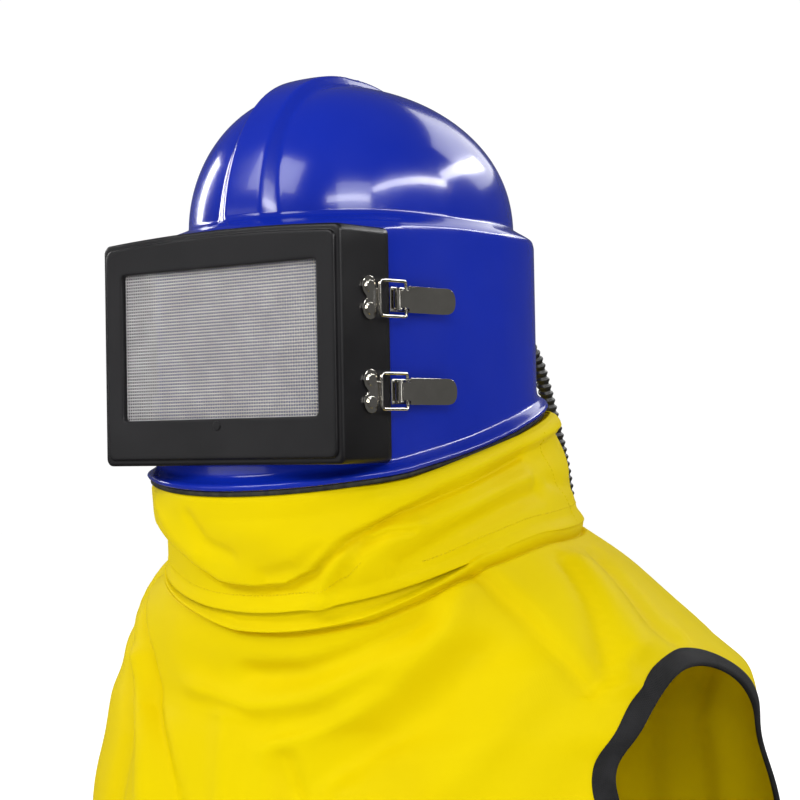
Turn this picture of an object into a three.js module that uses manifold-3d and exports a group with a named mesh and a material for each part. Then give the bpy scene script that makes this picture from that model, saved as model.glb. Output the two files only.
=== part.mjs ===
// A hood for abrasive blasting: a hard helmet shell with a hinged, screened window box,
// a cloth collar and cape below it, and a ribbed air hose from the back of the shell.
// Millimetres, +Z up. The wearer faces -Y and the wearer's left is +X.
// The origin is the crown seat, the point inside the dome that rests over the wearer's crown.
import * as THREE from 'three';
import { mergeVertices } from 'three/addons/utils/BufferGeometryUtils.js';
import Module from 'manifold-3d';

const wasm = await Module();
wasm.setup();

// Driving dimensions of the shell, reaches measured from the crown seat
const shellWall = 3;
const domeRise = 110;
const domeHalfLength = 123;
const domeSquareness = 2.4;
const domeRoundness = 2.12;
const domeBack = 24;
const crownLean = 17;
const crestHeight = 7;
const crestTopHalf = 14;
const crestFootHalf = 29;
const crestEdgeShare = 0.9;
const crestSunkShare = 0.8;
const shoulderWidth = 10;
const sideSpread = 13;
const bodyBackReach = 152;
const bodyFlatReach = 44;
const bodySquareness = 2.6;
const frontReach = 123;
const cornerProud = 0.5;
const cornerReach = 79;
const cornerTrim = 13;
const shoulderDrop = 12;
const bodyHeight = 178;
const rimRise = 70;
const lipReach = 8.5;
const lipHeight = 15;
const clothSeatShare = 0.66;

// Driving dimensions of the window box
const frameWidth = 219;
const frameFoot = 18;
const frameDepth = 51;
const frameTaper = 3.4;
const frameArch = 4;
const frameTopDrop = 12;
const frameWall = 3;
const frameStandoff = 12;
const frameCornerRound = 4;
const faceThickness = 4;
const faceStep = 1.6;
const faceBorder = 3;
const openingSide = 20;
const openingTopDrop = 22.5;
const openingFoot = 32.5;
const screenOverlap = 7;
const screenThickness = 1.2;
const lensThickness = 3;
const sightMargin = 6;

// Driving dimensions of the latches
const latchPitchShare = 0.39375;
const latchAlong = 2;
const wireDiameter = 2.4;
const bailLength = 26;
const bailHeight = 26.6;
const bailPinBack = 5;
const bailPinLift = 3;
const bailCorner = 3;
const leverLength = 52.5;
const leverHeight = 18.4;
const leverSheet = 1.4;
const leverBendAt = 40;
const leverTipLift = 4;
const leverTipRoundShare = 0.42;
const leverShoulder = 3.1;
const notchRoom = 2;
const leverLift = 4.9;
const latchPinDiameter = 3;
const earSheet = 1.4;
const baseSheet = 1.2;
const baseLength = 34;
const baseHeight = 17;
const rivetRadius = 3;
const rivetPlaces = [10, 24];
const keeperSheet = 1.2;
const keeperLobe = 7.4;
const keeperLobePitch = 15;
const keeperSetback = 29;
const keeperStrip = 13;
const keeperReach = 10.8;
const keeperRidge = 1.1;

// Driving dimensions of the hinges
const hingePitchShare = 0.55;
const hingeHeight = 34;
const hingePinDiameter = 4;
const hingeSheet = 1.6;
const hingeLeaf = 26;
const hingeKneeNear = 2;
const hingeKnee = 8;

// Driving dimensions of the cloth
const clothWall = 2;
const tapeProud = 1;
const pipingHeight = 2.4;
const pipingWidth = 3;
const neckDrop = 38;
const neckStand = 10;
const neckLeanShare = 0.33;
const collarLiftShare = 0.3;
const collarBulge = 5;
const capeHalfWidth = 284;
const capeFront = 94;
const capeBack = 243;
const capeLength = 365;
const capeAside = 20;
const capeTurn = 8;
const capeSquareness = 2.3;
const armholeHalfDepth = 93;
const armholeHalfHeight = 105;
const armholeBack = 76;
const armholeDrop = 79;
const bindingWidth = 16;

// Driving dimensions of the hose
const hoseDiameter = 12.4;
const inletDiameter = 24;
const inletLength = 15;
const inletAside = 45;
const inletDrop = 150;
const inletSunk = 4;
const inletFlangeShare = 1.35;
const inletStraight = 14;
const hoseReach = 265;
const hoseDrop = 690;
const couplingDiameter = 22;
const couplingLength = 42;
const nutShare = 0.55;
const spigotShare = 0.64;

// Clearance between pieces that seat on each other
const gap = 0.3;

// Sizes that follow from others: the window box spans the shell's front from corner to corner
const cornerHalf = frameWidth / 2 + cornerProud;
const bodyHalfWidth = cornerHalf + sideSpread;
const domeHalfWidth = bodyHalfWidth - shoulderWidth;
const frameHeight = bodyHeight - frameFoot;
const openingWidth = frameWidth - 2 * openingSide;
const openingHeight = frameHeight - openingTopDrop - openingFoot;
const latchPitch = frameHeight * latchPitchShare;
const hingePitch = frameHeight * hingePitchShare;
const clothSeat = lipReach * clothSeatShare;

// Colours and finishes
const finish = (color, roughness, metalness) => (
  new THREE.MeshStandardMaterial({ color, roughness, metalness })
);
const bluePlastic = finish(0x1e2da6, 0.18, 0);
const blackPlastic = finish(0x1c1b1d, 0.42, 0);
const darkTrim = finish(0x2b2a22, 0.8, 0);
const clearPane = finish(0xb8bcc0, 0.08, 0);
const wovenSteel = finish(0xb4b2b0, 0.35, 0.9);
const brightSteel = finish(0xc9c7c2, 0.2, 1);
const yellowCloth = finish(0xf2de00, 0.75, 0);
const blackTape = finish(0x18181a, 0.85, 0);
const blackRubber = finish(0x161617, 0.5, 0);

// Plain sums on numbers and points
const degrees = Math.PI / 180;
const rightAngle = 90 * degrees;
const mix = (a, b, share) => a + (b - a) * share;
const clamp = (value, low, high) => Math.min(Math.max(value, low), high);
const point = (x, y, z = 0) => new THREE.Vector3(x, y, z);

// A smooth curve through the rows of a table, read at a share between its first row and its last
function readTable(rows, column, share) {
  const last = rows.length - 1;
  let k = 0;
  while (k < last - 1 && share > rows[k + 1].at) {
    k += 1;
  }
  const before = rows[Math.max(k - 1, 0)];
  const from = rows[k];
  const to = rows[k + 1];
  const after = rows[Math.min(k + 2, last)];
  const span = to.at - from.at;
  const t = (share - from.at) / span;
  const slopeFrom = (to[column] - before[column]) / (to.at - before.at);
  const slopeTo = (after[column] - from[column]) / (after.at - from.at);
  const square = t * t;
  const cube = square * t;
  return (2 * cube - 3 * square + 1) * from[column] + (cube - 2 * square + t) * span * slopeFrom
    + (3 * square - 2 * cube) * to[column] + (cube - square) * span * slopeTo;
}

// A closed mesh from rings of points that run anticlockwise seen from above, top ring first.
// A loop joins its last ring to its first, otherwise each end closes on a point.
function skin(rings, { loop = false, start = null, end = null } = {}) {
  const count = rings[0].length;
  const positions = [];
  const triangle = (a, b, c) => positions.push(a.x, a.y, a.z, b.x, b.y, b.z, c.x, c.y, c.z);
  const bands = loop ? rings.length : rings.length - 1;
  for (let k = 0; k < bands; k += 1) {
    const upper = rings[k];
    const lower = rings[(k + 1) % rings.length];
    for (let i = 0; i < count; i += 1) {
      const j = (i + 1) % count;
      triangle(upper[i], lower[i], lower[j]);
      triangle(upper[i], lower[j], upper[j]);
    }
  }
  if (!loop) {
    const first = rings[0];
    const final = rings[rings.length - 1];
    for (let i = 0; i < count; i += 1) {
      const j = (i + 1) % count;
      triangle(start, first[i], first[j]);
      triangle(final[i], end, final[j]);
    }
  }
  const geometry = new THREE.BufferGeometry();
  geometry.setAttribute('position', new THREE.Float32BufferAttribute(positions, 3));
  return geometry;
}

// Geometry into a solid that can be cut and joined, and back
function solid(geometry, matrix = new THREE.Matrix4()) {
  const bare = geometry.clone().applyMatrix4(matrix);
  bare.deleteAttribute('normal');
  bare.deleteAttribute('uv');
  const merged = mergeVertices(bare, 1e-4);
  const vertProperties = new Float32Array(merged.getAttribute('position').array);
  const triVerts = new Uint32Array(merged.getIndex().array);
  return new wasm.Manifold(new wasm.Mesh({ numProp: 3, vertProperties, triVerts }));
}

function geometryOf(body) {
  const mesh = body.getMesh();
  const geometry = new THREE.BufferGeometry();
  geometry.setAttribute('position', new THREE.BufferAttribute(new Float32Array(mesh.vertProperties), 3));
  geometry.setIndex(new THREE.BufferAttribute(new Uint32Array(mesh.triVerts), 1));
  return geometry;
}

const shift = (x, y, z) => new THREE.Matrix4().makeTranslation(x, y, z);
const block = (width, depth, height, x, y, z) => (
  solid(new THREE.BoxGeometry(width, depth, height), shift(x, y, z))
);

// A round bar whose axis is vertical
function upright(radius, height, x, y, z, sides = 10) {
  const turned = new THREE.Matrix4().makeRotationX(rightAngle);
  return solid(new THREE.CylinderGeometry(radius, radius, height, sides), shift(x, y, z).multiply(turned));
}

// A round bar whose axis points along X
function crosswise(radius, length, x, y, z, sides = 12) {
  const turned = new THREE.Matrix4().makeRotationZ(rightAngle);
  return solid(new THREE.CylinderGeometry(radius, radius, length, sides), shift(x, y, z).multiply(turned));
}

// An outline in the XY plane pushed up from a height
function prism(outline, from, height) {
  const shape = new THREE.Shape(outline.map(([x, y]) => new THREE.Vector2(x, y)));
  return solid(new THREE.ExtrudeGeometry(shape, { depth: height, bevelEnabled: false }), shift(0, 0, from));
}

// An outline in the YZ plane pushed out along X
function sidePrism(shape, from, depth) {
  const geometry = new THREE.ExtrudeGeometry(shape, { depth, bevelEnabled: false, curveSegments: 8 });
  const standing = new THREE.Matrix4().makeBasis(point(0, 1, 0), point(0, 0, 1), point(1, 0, 0));
  return solid(geometry, shift(from, 0, 0).multiply(standing));
}

// A tube or wire along a curve
function tube(curve, diameter, sides, steps) {
  const section = new THREE.Shape();
  for (let k = 0; k < sides; k += 1) {
    const angle = 2 * Math.PI * k / sides;
    const place = [Math.cos(angle) * diameter / 2, Math.sin(angle) * diameter / 2];
    if (k === 0) {
      section.moveTo(...place);
    } else {
      section.lineTo(...place);
    }
  }
  section.closePath();
  return solid(new THREE.ExtrudeGeometry(section, { steps, bevelEnabled: false, extrudePath: curve }));
}

const model = new THREE.Group();

function add(name, body, material, parent = model) {
  const mesh = new THREE.Mesh(geometryOf(body), material);
  mesh.name = name;
  parent.add(mesh);
}

// Heights that the parts share
const domeTop = shellWall;
const domeBase = domeTop - domeRise;
const shoulderBase = domeBase - shoulderDrop;
const rimFront = shoulderBase - bodyHeight;
const belowAll = rimFront - neckDrop - 2 * capeLength;

// Shell
// The plan outline of the lower part is a bowed front, two soft corners, long flat sides that
// open a little towards the back, and a squared round back. Half of it is drawn and mirrored.
const frontSagitta = frontReach - cornerReach;
const frontRadius = (cornerHalf * cornerHalf + frontSagitta * frontSagitta) / (2 * frontSagitta);
const corner = point(cornerHalf, -cornerReach);
const sideEnd = point(bodyHalfWidth, bodyFlatReach);
const sideDirection = sideEnd.clone().sub(corner).normalize();

function halfOutline() {
  const arcEnd = Math.asin(cornerHalf / frontRadius);
  const trimAngle = cornerTrim / frontRadius;
  const frontSteps = 5;
  const sideSteps = 4;
  const backSteps = 9;
  const points = [];
  for (let k = 0; k <= frontSteps; k += 1) {
    const angle = (arcEnd - trimAngle) * k / frontSteps;
    points.push(point(frontRadius * Math.sin(angle), frontRadius * (1 - Math.cos(angle)) - frontReach));
  }
  const cornerFrom = points[points.length - 1];
  const cornerTo = corner.clone().addScaledVector(sideDirection, cornerTrim);
  const bend = new THREE.QuadraticBezierCurve3(cornerFrom, corner, cornerTo);
  points.push(bend.getPoint(0.35), bend.getPoint(0.65));
  for (let k = 0; k < sideSteps; k += 1) {
    points.push(cornerTo.clone().lerp(sideEnd, k / sideSteps));
  }
  const backDepth = bodyBackReach - bodyFlatReach;
  for (let k = 0; k <= backSteps; k += 1) {
    const angle = rightAngle * k / backSteps;
    const across = bodyHalfWidth * Math.abs(Math.cos(angle)) ** (2 / bodySquareness);
    points.push(point(across, bodyFlatReach + backDepth * Math.sin(angle) ** (2 / bodySquareness)));
  }
  return points;
}

const half = halfOutline();
const bodyOutline = [...half, ...half.slice(1, -1).reverse().map((p) => point(-p.x, p.y))];

// An outline moved outwards along its own normals
function offsetOutline(outline, distance) {
  const count = outline.length;
  return outline.map((p, i) => {
    const ahead = outline[(i + 1) % count];
    const behind = outline[(i + count - 1) % count];
    const tangent = ahead.clone().sub(behind).setZ(0).normalize();
    return point(p.x + tangent.y * distance, p.y - tangent.x * distance, p.z);
  });
}

// A squared oval with a point in the direction of each point of the body outline
function oval(halfWidth, front, back, squareness) {
  const centre = (back - front) / 2;
  const halfLength = (back + front) / 2;
  return bodyOutline.map((p) => {
    const angle = Math.atan2(p.y - domeBack, p.x);
    const across = Math.abs(Math.cos(angle) / halfWidth) ** squareness;
    const along = Math.abs(Math.sin(angle) / halfLength) ** squareness;
    const reach = (across + along) ** (-1 / squareness);
    return point(reach * Math.cos(angle), centre + reach * Math.sin(angle));
  });
}

const domeOutline = (halfWidth, halfLength, centre) => (
  oval(halfWidth, halfLength - centre, halfLength + centre, domeSquareness)
);

// The dome's centre moves forwards on the way up
const domeCentreAt = (up) => domeBack - crownLean * up ** 3;

function domeRings(rise, halfWidth, halfLength, steps) {
  const rings = [];
  for (let k = 1; k <= steps; k += 1) {
    const angle = rightAngle * (1 - k / steps);
    const up = Math.sin(angle) ** (2 / domeRoundness);
    const wide = Math.cos(angle) ** (2 / domeRoundness);
    const outline = domeOutline(halfWidth * wide, halfLength * wide, domeCentreAt(up));
    rings.push(outline.map((p) => p.setZ(domeBase + rise * up)));
  }
  return rings;
}

// The rim's height from the front of the shell to its back, as shares of the length and the rise
const rimRows = [
  { at: 0, rise: 0 },
  { at: 0.15, rise: 0.13 },
  { at: 0.46, rise: 0.37 },
  { at: 0.75, rise: 0.7 },
  { at: 1, rise: 0.95 },
];
function rimHeight(y) {
  const share = (y + frontReach) / (frontReach + bodyBackReach);
  return rimFront + rimRise * readTable(rimRows, 'rise', clamp(share, 0, 1));
}

// The bend from the dome to the body: how far out towards the body outline, and how far down
const shoulderRows = [
  { out: 0.1, down: -0.1 },
  { out: 0.3, down: 0.06 },
  { out: 0.7, down: 0.36 },
  { out: 0.92, down: 0.6 },
  { out: 1, down: 1 },
];

// The flared lip: height above the rim and reach outside the body, as shares of the lip
const lipRows = [
  { up: 1, out: 0 },
  { up: 0.62, out: 0.13 },
  { up: 0.42, out: 0.5 },
  { up: 0.3, out: 0.86 },
  { up: 0.16, out: 1 },
  { up: 0, out: 0.84 },
];

function shellOutside(clearance = 0) {
  const body = offsetOutline(bodyOutline, clearance);
  const rings = domeRings(domeRise, domeHalfWidth, domeHalfLength, 9).slice(0, -1);
  const foot = domeOutline(domeHalfWidth, domeHalfLength, domeBack);
  for (const row of shoulderRows) {
    rings.push(foot.map((p, i) => p.clone().lerp(body[i], row.out).setZ(domeBase - shoulderDrop * row.down)));
  }
  const lipTop = (i) => rimHeight(bodyOutline[i].y) + lipHeight;
  rings.push(body.map((p, i) => p.clone().setZ(mix(shoulderBase, lipTop(i), 0.5))));
  for (const row of lipRows) {
    const outline = offsetOutline(bodyOutline, lipReach * row.out + clearance);
    rings.push(outline.map((p, i) => p.setZ(rimHeight(bodyOutline[i].y) + lipHeight * row.up)));
  }
  const underside = offsetOutline(bodyOutline, -2 * shellWall);
  rings.push(underside.map((p, i) => p.setZ(rimHeight(bodyOutline[i].y))));
  return solid(skin(rings, { start: point(0, domeCentreAt(1), domeTop), end: point(0, 0, rimFront) }));
}

function shellInside() {
  const rings = domeRings(domeRise - shellWall, domeHalfWidth - shellWall, domeHalfLength - shellWall, 6);
  const inner = offsetOutline(bodyOutline, -shellWall);
  rings.push(inner.map((p) => p.clone().setZ(shoulderBase - shellWall)));
  rings.push(inner.map((p) => p.clone().setZ(rimFront - lipHeight)));
  return solid(skin(rings, { start: point(0, domeCentreAt(1), 0), end: point(0, 0, rimFront - lipHeight) }));
}

// The crest is a band over the dome from front to back, with sloped sides
function crestBand() {
  const steps = 14;
  const sunk = shellWall * crestSunkShare;
  const sections = [];
  for (let k = 0; k <= steps; k += 1) {
    const angle = 2 * rightAngle * k / steps;
    const up = Math.sin(angle) ** (2 / domeRoundness);
    const ahead = -Math.sign(Math.cos(angle)) * Math.abs(Math.cos(angle)) ** (2 / domeRoundness);
    const ring = (across, lift) => point(
      across, domeCentreAt(up) + (domeHalfLength + lift) * ahead, domeBase + (domeRise + lift) * up,
    );
    sections.push([
      ring(-crestFootHalf, -2 * sunk),
      ring(crestFootHalf, -2 * sunk),
      ring(crestFootHalf, -sunk),
      ring(crestTopHalf, crestHeight * crestEdgeShare),
      ring(0, crestHeight),
      ring(-crestTopHalf, crestHeight * crestEdgeShare),
      ring(-crestFootHalf, -sunk),
    ]);
  }
  const middle = (section) => (
    section.reduce((sum, p) => sum.add(p), point(0, 0)).divideScalar(section.length)
  );
  return solid(skin(sections, { start: middle(sections[0]), end: middle(sections[steps]) }));
}

// Places of the window box in front of the shell
const frameFront = -(frontReach + frameStandoff);
const frameBack = frameFront + frameDepth;
const frameTop = domeBase - frameTopDrop;
const frameBottom = frameTop - frameHeight;
const frameMiddle = (frameTop + frameBottom) / 2;
const openingMiddle = frameTop - openingTopDrop - openingHeight / 2;
const faceBack = frameFront + faceThickness;

const sightHole = block(
  openingWidth + 2 * sightMargin, 2 * frontSagitta, openingHeight + 2 * sightMargin,
  0, -frontReach, openingMiddle,
);
const shell = shellOutside().add(crestBand()).subtract(shellInside()).subtract(sightHole);
add('shell', shell, bluePlastic);

// The lower part of the shell as a full block, grown by a clearance, to trim what seats on it
function bodyBlock(clearance, bottom) {
  const outline = offsetOutline(bodyOutline, clearance);
  const rings = [domeBase, bottom].map((z) => outline.map((p) => p.clone().setZ(z)));
  return solid(skin(rings, { start: point(0, 0, domeBase), end: point(0, 0, bottom) }));
}

// The thin strip under the rim
function pipingRings() {
  const outer = offsetOutline(bodyOutline, clothSeat);
  const inner = offsetOutline(bodyOutline, clothSeat - pipingWidth);
  const place = (outline, down) => outline.map((p, i) => p.clone().setZ(rimHeight(bodyOutline[i].y) - down));
  const top = 2 * gap;
  const bottom = top + pipingHeight;
  return [place(outer, top), place(outer, bottom), place(inner, bottom), place(inner, top)];
}
add('rim_piping', solid(skin(pipingRings(), { loop: true })), darkTrim);

// Window box
// The front outline is arched at the top, with small rounds at the corners
function frameOutline(halfWidth, top, bottom, y) {
  const archSteps = 6;
  const round = frameCornerRound;
  const cut = round * 0.3;
  const points = [
    point(-halfWidth, y, bottom + round),
    point(-halfWidth + cut, y, bottom + cut),
    point(-halfWidth + round, y, bottom),
    point(halfWidth - round, y, bottom),
    point(halfWidth - cut, y, bottom + cut),
    point(halfWidth, y, bottom + round),
    point(halfWidth, y, top - round),
    point(halfWidth - cut, y, top - cut),
  ];
  for (let k = 0; k <= archSteps; k += 1) {
    const share = 1 - 2 * k / archSteps;
    points.push(point((halfWidth - round) * share, y, top + frameArch * (1 - share * share)));
  }
  points.push(point(-halfWidth + cut, y, top - cut));
  return points;
}

// A body between outlines that grow by a side and an upward amount on the way back
function frameLoft(rows) {
  const rings = rows.map((row) => (
    frameOutline(frameWidth / 2 + row.side, frameTop + row.up, frameBottom - row.up, row.y)
  ));
  const [first] = rows;
  const last = rows[rows.length - 1];
  return solid(skin(rings, { start: point(0, first.y, frameMiddle), end: point(0, last.y, frameMiddle) }));
}

const taperAt = (y) => frameTaper * (y - frameFront) / frameDepth;
const frameBlank = frameLoft([
  { y: frameFront, side: -faceBorder - faceStep, up: -faceBorder - faceStep },
  { y: frameFront + faceStep / 2, side: -faceBorder, up: -faceBorder },
  { y: frameFront + faceStep, side: -faceStep, up: -faceStep },
  { y: frameFront + 2 * faceStep, side: 0, up: 0 },
  { y: frameBack, side: frameTaper, up: 0 },
]);
const frameHollow = frameLoft([
  { y: faceBack, side: taperAt(faceBack) - frameWall, up: -frameWall },
  { y: frameBack + frameWall, side: frameTaper - frameWall, up: -frameWall },
]);
const openingHole = block(openingWidth, 4 * faceThickness, openingHeight, 0, frameFront, openingMiddle);
const windowGroup = new THREE.Group();
model.add(windowGroup);
const windowBox = frameBlank.subtract(frameHollow).subtract(openingHole).subtract(shellOutside(2 * gap));
add('window_frame', windowBox, blackPlastic, windowGroup);

// A flat plate behind the opening, held behind the face
const openingPlate = (front, thickness) => block(
  openingWidth + 2 * screenOverlap, thickness, openingHeight + 2 * screenOverlap,
  0, front + thickness / 2, openingMiddle,
);
const screenFront = faceBack + gap;
const lensFront = screenFront + screenThickness + gap;
add('window_mesh', openingPlate(screenFront, screenThickness), wovenSteel, windowGroup);
add('window_lens', openingPlate(lensFront, lensThickness), clearPane, windowGroup);

// Latches
// Each is drawn lying on the flat side of the shell: X away from the side, Y along it to the
// back, Z up, with its origin under the lever's pin.
const sideTurn = -Math.atan2(sideDirection.x, sideDirection.y);
const boxSideTurn = -Math.atan2(frameTaper, frameDepth);
const pinRadius = latchPinDiameter / 2;
const curlInner = pinRadius + gap;
const curlOuter = curlInner + leverSheet;
const notchHalf = leverHeight / 2 - leverShoulder;

function latchBase() {
  const plate = block(baseSheet, baseLength, baseHeight, gap + baseSheet / 2, baseLength / 2 - curlOuter, 0);
  const ear = (z) => upright(curlOuter, earSheet, leverLift, 0, z).add(
    block(leverLift - gap, 2 * curlOuter, earSheet, (leverLift + gap) / 2, 0, z),
  );
  const earAt = notchHalf + gap + earSheet / 2;
  const pin = upright(pinRadius, 2 * earAt, leverLift, 0, 0);
  const rivet = (y) => crosswise(rivetRadius, baseSheet, gap + 1.5 * baseSheet, y, 0, 10);
  const bracket = plate.add(ear(earAt)).add(ear(-earAt)).add(pin);
  return rivetPlaces.reduce((body, y) => body.add(rivet(y)), bracket);
}

function latchLever() {
  const top = leverLift + curlOuter;
  const under = top - leverSheet;
  const sheet = prism([
    [under, 0], [top, 0], [top, leverBendAt], [top + leverTipLift, leverLength],
    [under + leverTipLift, leverLength], [under, leverBendAt],
  ].reverse(), -leverHeight / 2, leverHeight);
  const notchEnd = bailPinBack + wireDiameter / 2 + notchRoom;
  const round = leverHeight * leverTipRoundShare;
  const outline = new THREE.Shape();
  outline.moveTo(-curlOuter, -notchHalf);
  outline.lineTo(notchEnd, -notchHalf);
  outline.lineTo(notchEnd, -leverHeight / 2);
  outline.lineTo(leverLength - round, -leverHeight / 2);
  outline.quadraticCurveTo(leverLength, -leverHeight / 2, leverLength, 0);
  outline.quadraticCurveTo(leverLength, leverHeight / 2, leverLength - round, leverHeight / 2);
  outline.lineTo(notchEnd, leverHeight / 2);
  outline.lineTo(notchEnd, notchHalf);
  outline.lineTo(-curlOuter, notchHalf);
  outline.closePath();
  const cut = sidePrism(outline, 0, 2 * (top + leverTipLift));
  const curl = upright(curlOuter, 2 * notchHalf, leverLift, 0, 0)
    .subtract(upright(curlInner, leverHeight, leverLift, 0, 0));
  const flat = sheet.intersect(cut).subtract(upright(curlInner, leverHeight, leverLift, 0, 0));
  return flat.add(curl);
}

function latchBail() {
  const sideZ = (bailHeight - wireDiameter) / 2;
  const inner = notchHalf + gap;
  const lift = leverLift + bailPinLift;
  const front = bailPinBack - bailLength;
  const round = bailCorner;
  const path = new THREE.CurvePath();
  const line = (a, b) => path.add(new THREE.LineCurve3(a, b));
  const bend = (a, middle, b) => path.add(new THREE.QuadraticBezierCurve3(a, middle, b));
  const at = (y, z) => point(lift, y, z);
  const small = wireDiameter * 0.8;
  line(at(bailPinBack, inner), at(bailPinBack, sideZ - small));
  bend(at(bailPinBack, sideZ - small), at(bailPinBack, sideZ), at(bailPinBack - small, sideZ));
  line(at(bailPinBack - small, sideZ), at(front + round, sideZ));
  bend(at(front + round, sideZ), at(front, sideZ), at(front, sideZ - round));
  line(at(front, sideZ - round), at(front, round - sideZ));
  bend(at(front, round - sideZ), at(front, -sideZ), at(front + round, -sideZ));
  line(at(front + round, -sideZ), at(bailPinBack - small, -sideZ));
  bend(at(bailPinBack - small, -sideZ), at(bailPinBack, -sideZ), at(bailPinBack, small - sideZ));
  line(at(bailPinBack, small - sideZ), at(bailPinBack, -inner));
  return tube(path, wireDiameter, 6, 34);
}

// The keeper's strip from its lobes to its hook: along as a share of its reach, lift of its ridge
const keeperRows = [
  { along: 0.28, lift: 0 },
  { along: 0.46, lift: 1 },
  { along: 0.57, lift: 1 },
  { along: 0.7, lift: 0.27 },
  { along: 0.8, lift: 0.27 },
  { along: 0.93, lift: 0.91 },
  { along: 1, lift: 0.91 },
];

// The keeper is drawn lying on the side of the window box
function keeper() {
  const top = gap + keeperSheet;
  const tail = -keeperLobe * 0.4;
  const side = (from) => keeperRows.map((row) => [from + keeperRidge * row.lift, keeperReach * row.along]);
  const lobe = (z) => crosswise(keeperLobe, keeperSheet, gap + keeperSheet / 2, 0, z)
    .add(crosswise(keeperLobe * 0.55, keeperSheet, top + keeperSheet / 2, 0, z, 12));
  const profile = [[gap, tail], [top, tail], ...side(top), ...side(gap).reverse()];
  const strip = prism(profile.reverse(), -keeperStrip / 2, keeperStrip);
  return lobe(keeperLobePitch / 2).add(lobe(-keeperLobePitch / 2)).add(strip);
}

const boxSideAt = (y) => point(frameWidth / 2 + taperAt(y), y);
const keeperY = corner.y + latchAlong - keeperSetback;
const levels = [['upper', frameMiddle + latchPitch / 2], ['lower', frameMiddle - latchPitch / 2]];
for (const [level, z] of levels) {
  const onShell = new THREE.Group();
  onShell.position.copy(corner).addScaledVector(sideDirection, latchAlong).setZ(z);
  onShell.rotation.z = sideTurn;
  model.add(onShell);
  add(`latch_base_${level}`, latchBase(), brightSteel, onShell);
  add(`latch_lever_${level}`, latchLever(), brightSteel, onShell);
  add(`latch_bail_${level}`, latchBail(), brightSteel, onShell);
  const onBox = new THREE.Group();
  onBox.position.copy(boxSideAt(keeperY)).setZ(z);
  onBox.rotation.z = boxSideTurn;
  windowGroup.add(onBox);
  add(`keeper_${level}`, keeper(), brightSteel, onBox);
}

// Hinges
// Drawn about the pin on the wearer's right: X points away from the helmet there, Y to the back
const hingeY = frameBack + 1;
const hingeX = frameWidth / 2 + frameTaper + hingePinDiameter;
const knuckleRadius = hingePinDiameter / 2 + hingeSheet;
const knuckleThird = hingeHeight / 3;

function hingeShellLeaf() {
  const slope = sideDirection.x / sideDirection.y;
  const side = corner.x + slope * (hingeY - corner.y) - hingeX;
  const along = (y) => side + gap + slope * y;
  const knee = along(hingeKnee);
  const tip = along(hingeLeaf);
  const profile = [
    [tip, hingeLeaf], [knee, hingeKnee], [knee, hingeKneeNear], [-knuckleRadius * 0.5, 0],
    [knuckleRadius * 0.6, knuckleRadius * 0.5], [knee + hingeSheet, hingeKnee + 1],
    [tip + hingeSheet, hingeLeaf],
  ];
  const leaf = prism(profile.reverse(), -hingeHeight / 2, hingeHeight);
  const knuckle = (z) => upright(knuckleRadius, knuckleThird - gap, 0, 0, z);
  const room = upright(knuckleRadius + 2 * gap, knuckleThird + gap, 0, 0, 0);
  const pin = upright(hingePinDiameter / 2, hingeHeight, 0, 0, 0);
  return leaf.subtract(room).add(knuckle(knuckleThird)).add(knuckle(-knuckleThird)).add(pin);
}

function hingeFrameLeaf() {
  const side = -hingePinDiameter + gap;
  const slope = frameTaper / frameDepth;
  const leaf = prism([
    [side, -hingeKneeNear], [side - slope * hingeLeaf, -hingeLeaf],
    [side - slope * hingeLeaf + hingeSheet, -hingeLeaf], [side + hingeSheet, -2 * hingeKneeNear],
    [-knuckleRadius * 0.3, -knuckleRadius * 0.8],
  ], -hingeHeight / 2, hingeHeight);
  const above = upright(knuckleRadius + 2 * gap, knuckleThird + gap, 0, 0, knuckleThird);
  const below = upright(knuckleRadius + 2 * gap, knuckleThird + gap, 0, 0, -knuckleThird);
  const barrel = upright(knuckleRadius, knuckleThird - gap, 0, 0, 0);
  const bore = upright(hingePinDiameter / 2 + gap, hingeHeight, 0, 0, 0);
  return leaf.subtract(above).subtract(below).add(barrel).subtract(bore);
}

const mirrored = new THREE.Matrix4().makeScale(-1, 1, 1);
const onRight = (body) => body.transform(mirrored.elements);
const hingeLevels = [['upper', frameMiddle + hingePitch / 2], ['lower', frameMiddle - hingePitch / 2]];
for (const [level, z] of hingeLevels) {
  const fixed = new THREE.Group();
  fixed.position.set(-hingeX, hingeY, z);
  model.add(fixed);
  add(`hinge_shell_leaf_${level}`, onRight(hingeShellLeaf()), brightSteel, fixed);
  const swinging = new THREE.Group();
  swinging.position.set(-hingeX, hingeY, z);
  windowGroup.add(swinging);
  add(`hinge_frame_leaf_${level}`, onRight(hingeFrameLeaf()), brightSteel, swinging);
}

// Cloth
// A wall of cloth from the rings of its outer face: each point has an inner one behind it
function clothRings(rings, thickness) {
  const count = rings[0].length;
  const inner = rings.map((ring, k) => ring.map((p, i) => {
    const down = rings[Math.min(k + 1, rings.length - 1)][i].clone().sub(rings[Math.max(k - 1, 0)][i]);
    const around = ring[(i + 1) % count].clone().sub(ring[(i + count - 1) % count]);
    return p.clone().addScaledVector(down.cross(around).normalize(), -thickness);
  }));
  return [...rings, ...inner.reverse()];
}

// Soft folds: an angle round the body (0 at the front, 90 on the wearer's left), its drift on the
// way down, its spread, the shares of the height where it starts and ends, and its depth
function foldAt(folds, angle, share) {
  let sum = 0;
  for (const fold of folds) {
    const middle = fold.angle + fold.drift * (share - fold.from);
    const away = ((angle - middle + 540) % 360) - 180;
    const span = (share - fold.from) / (fold.to - fold.from);
    if (span > 0 && span < 1) {
      sum += fold.depth * Math.exp(-((away / fold.spread) ** 2)) * Math.sin(span * Math.PI);
    }
  }
  return sum;
}

const headingOf = (x, y) => Math.atan2(x, -y) / degrees;
const neckSide = rimFront - neckDrop;

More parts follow.
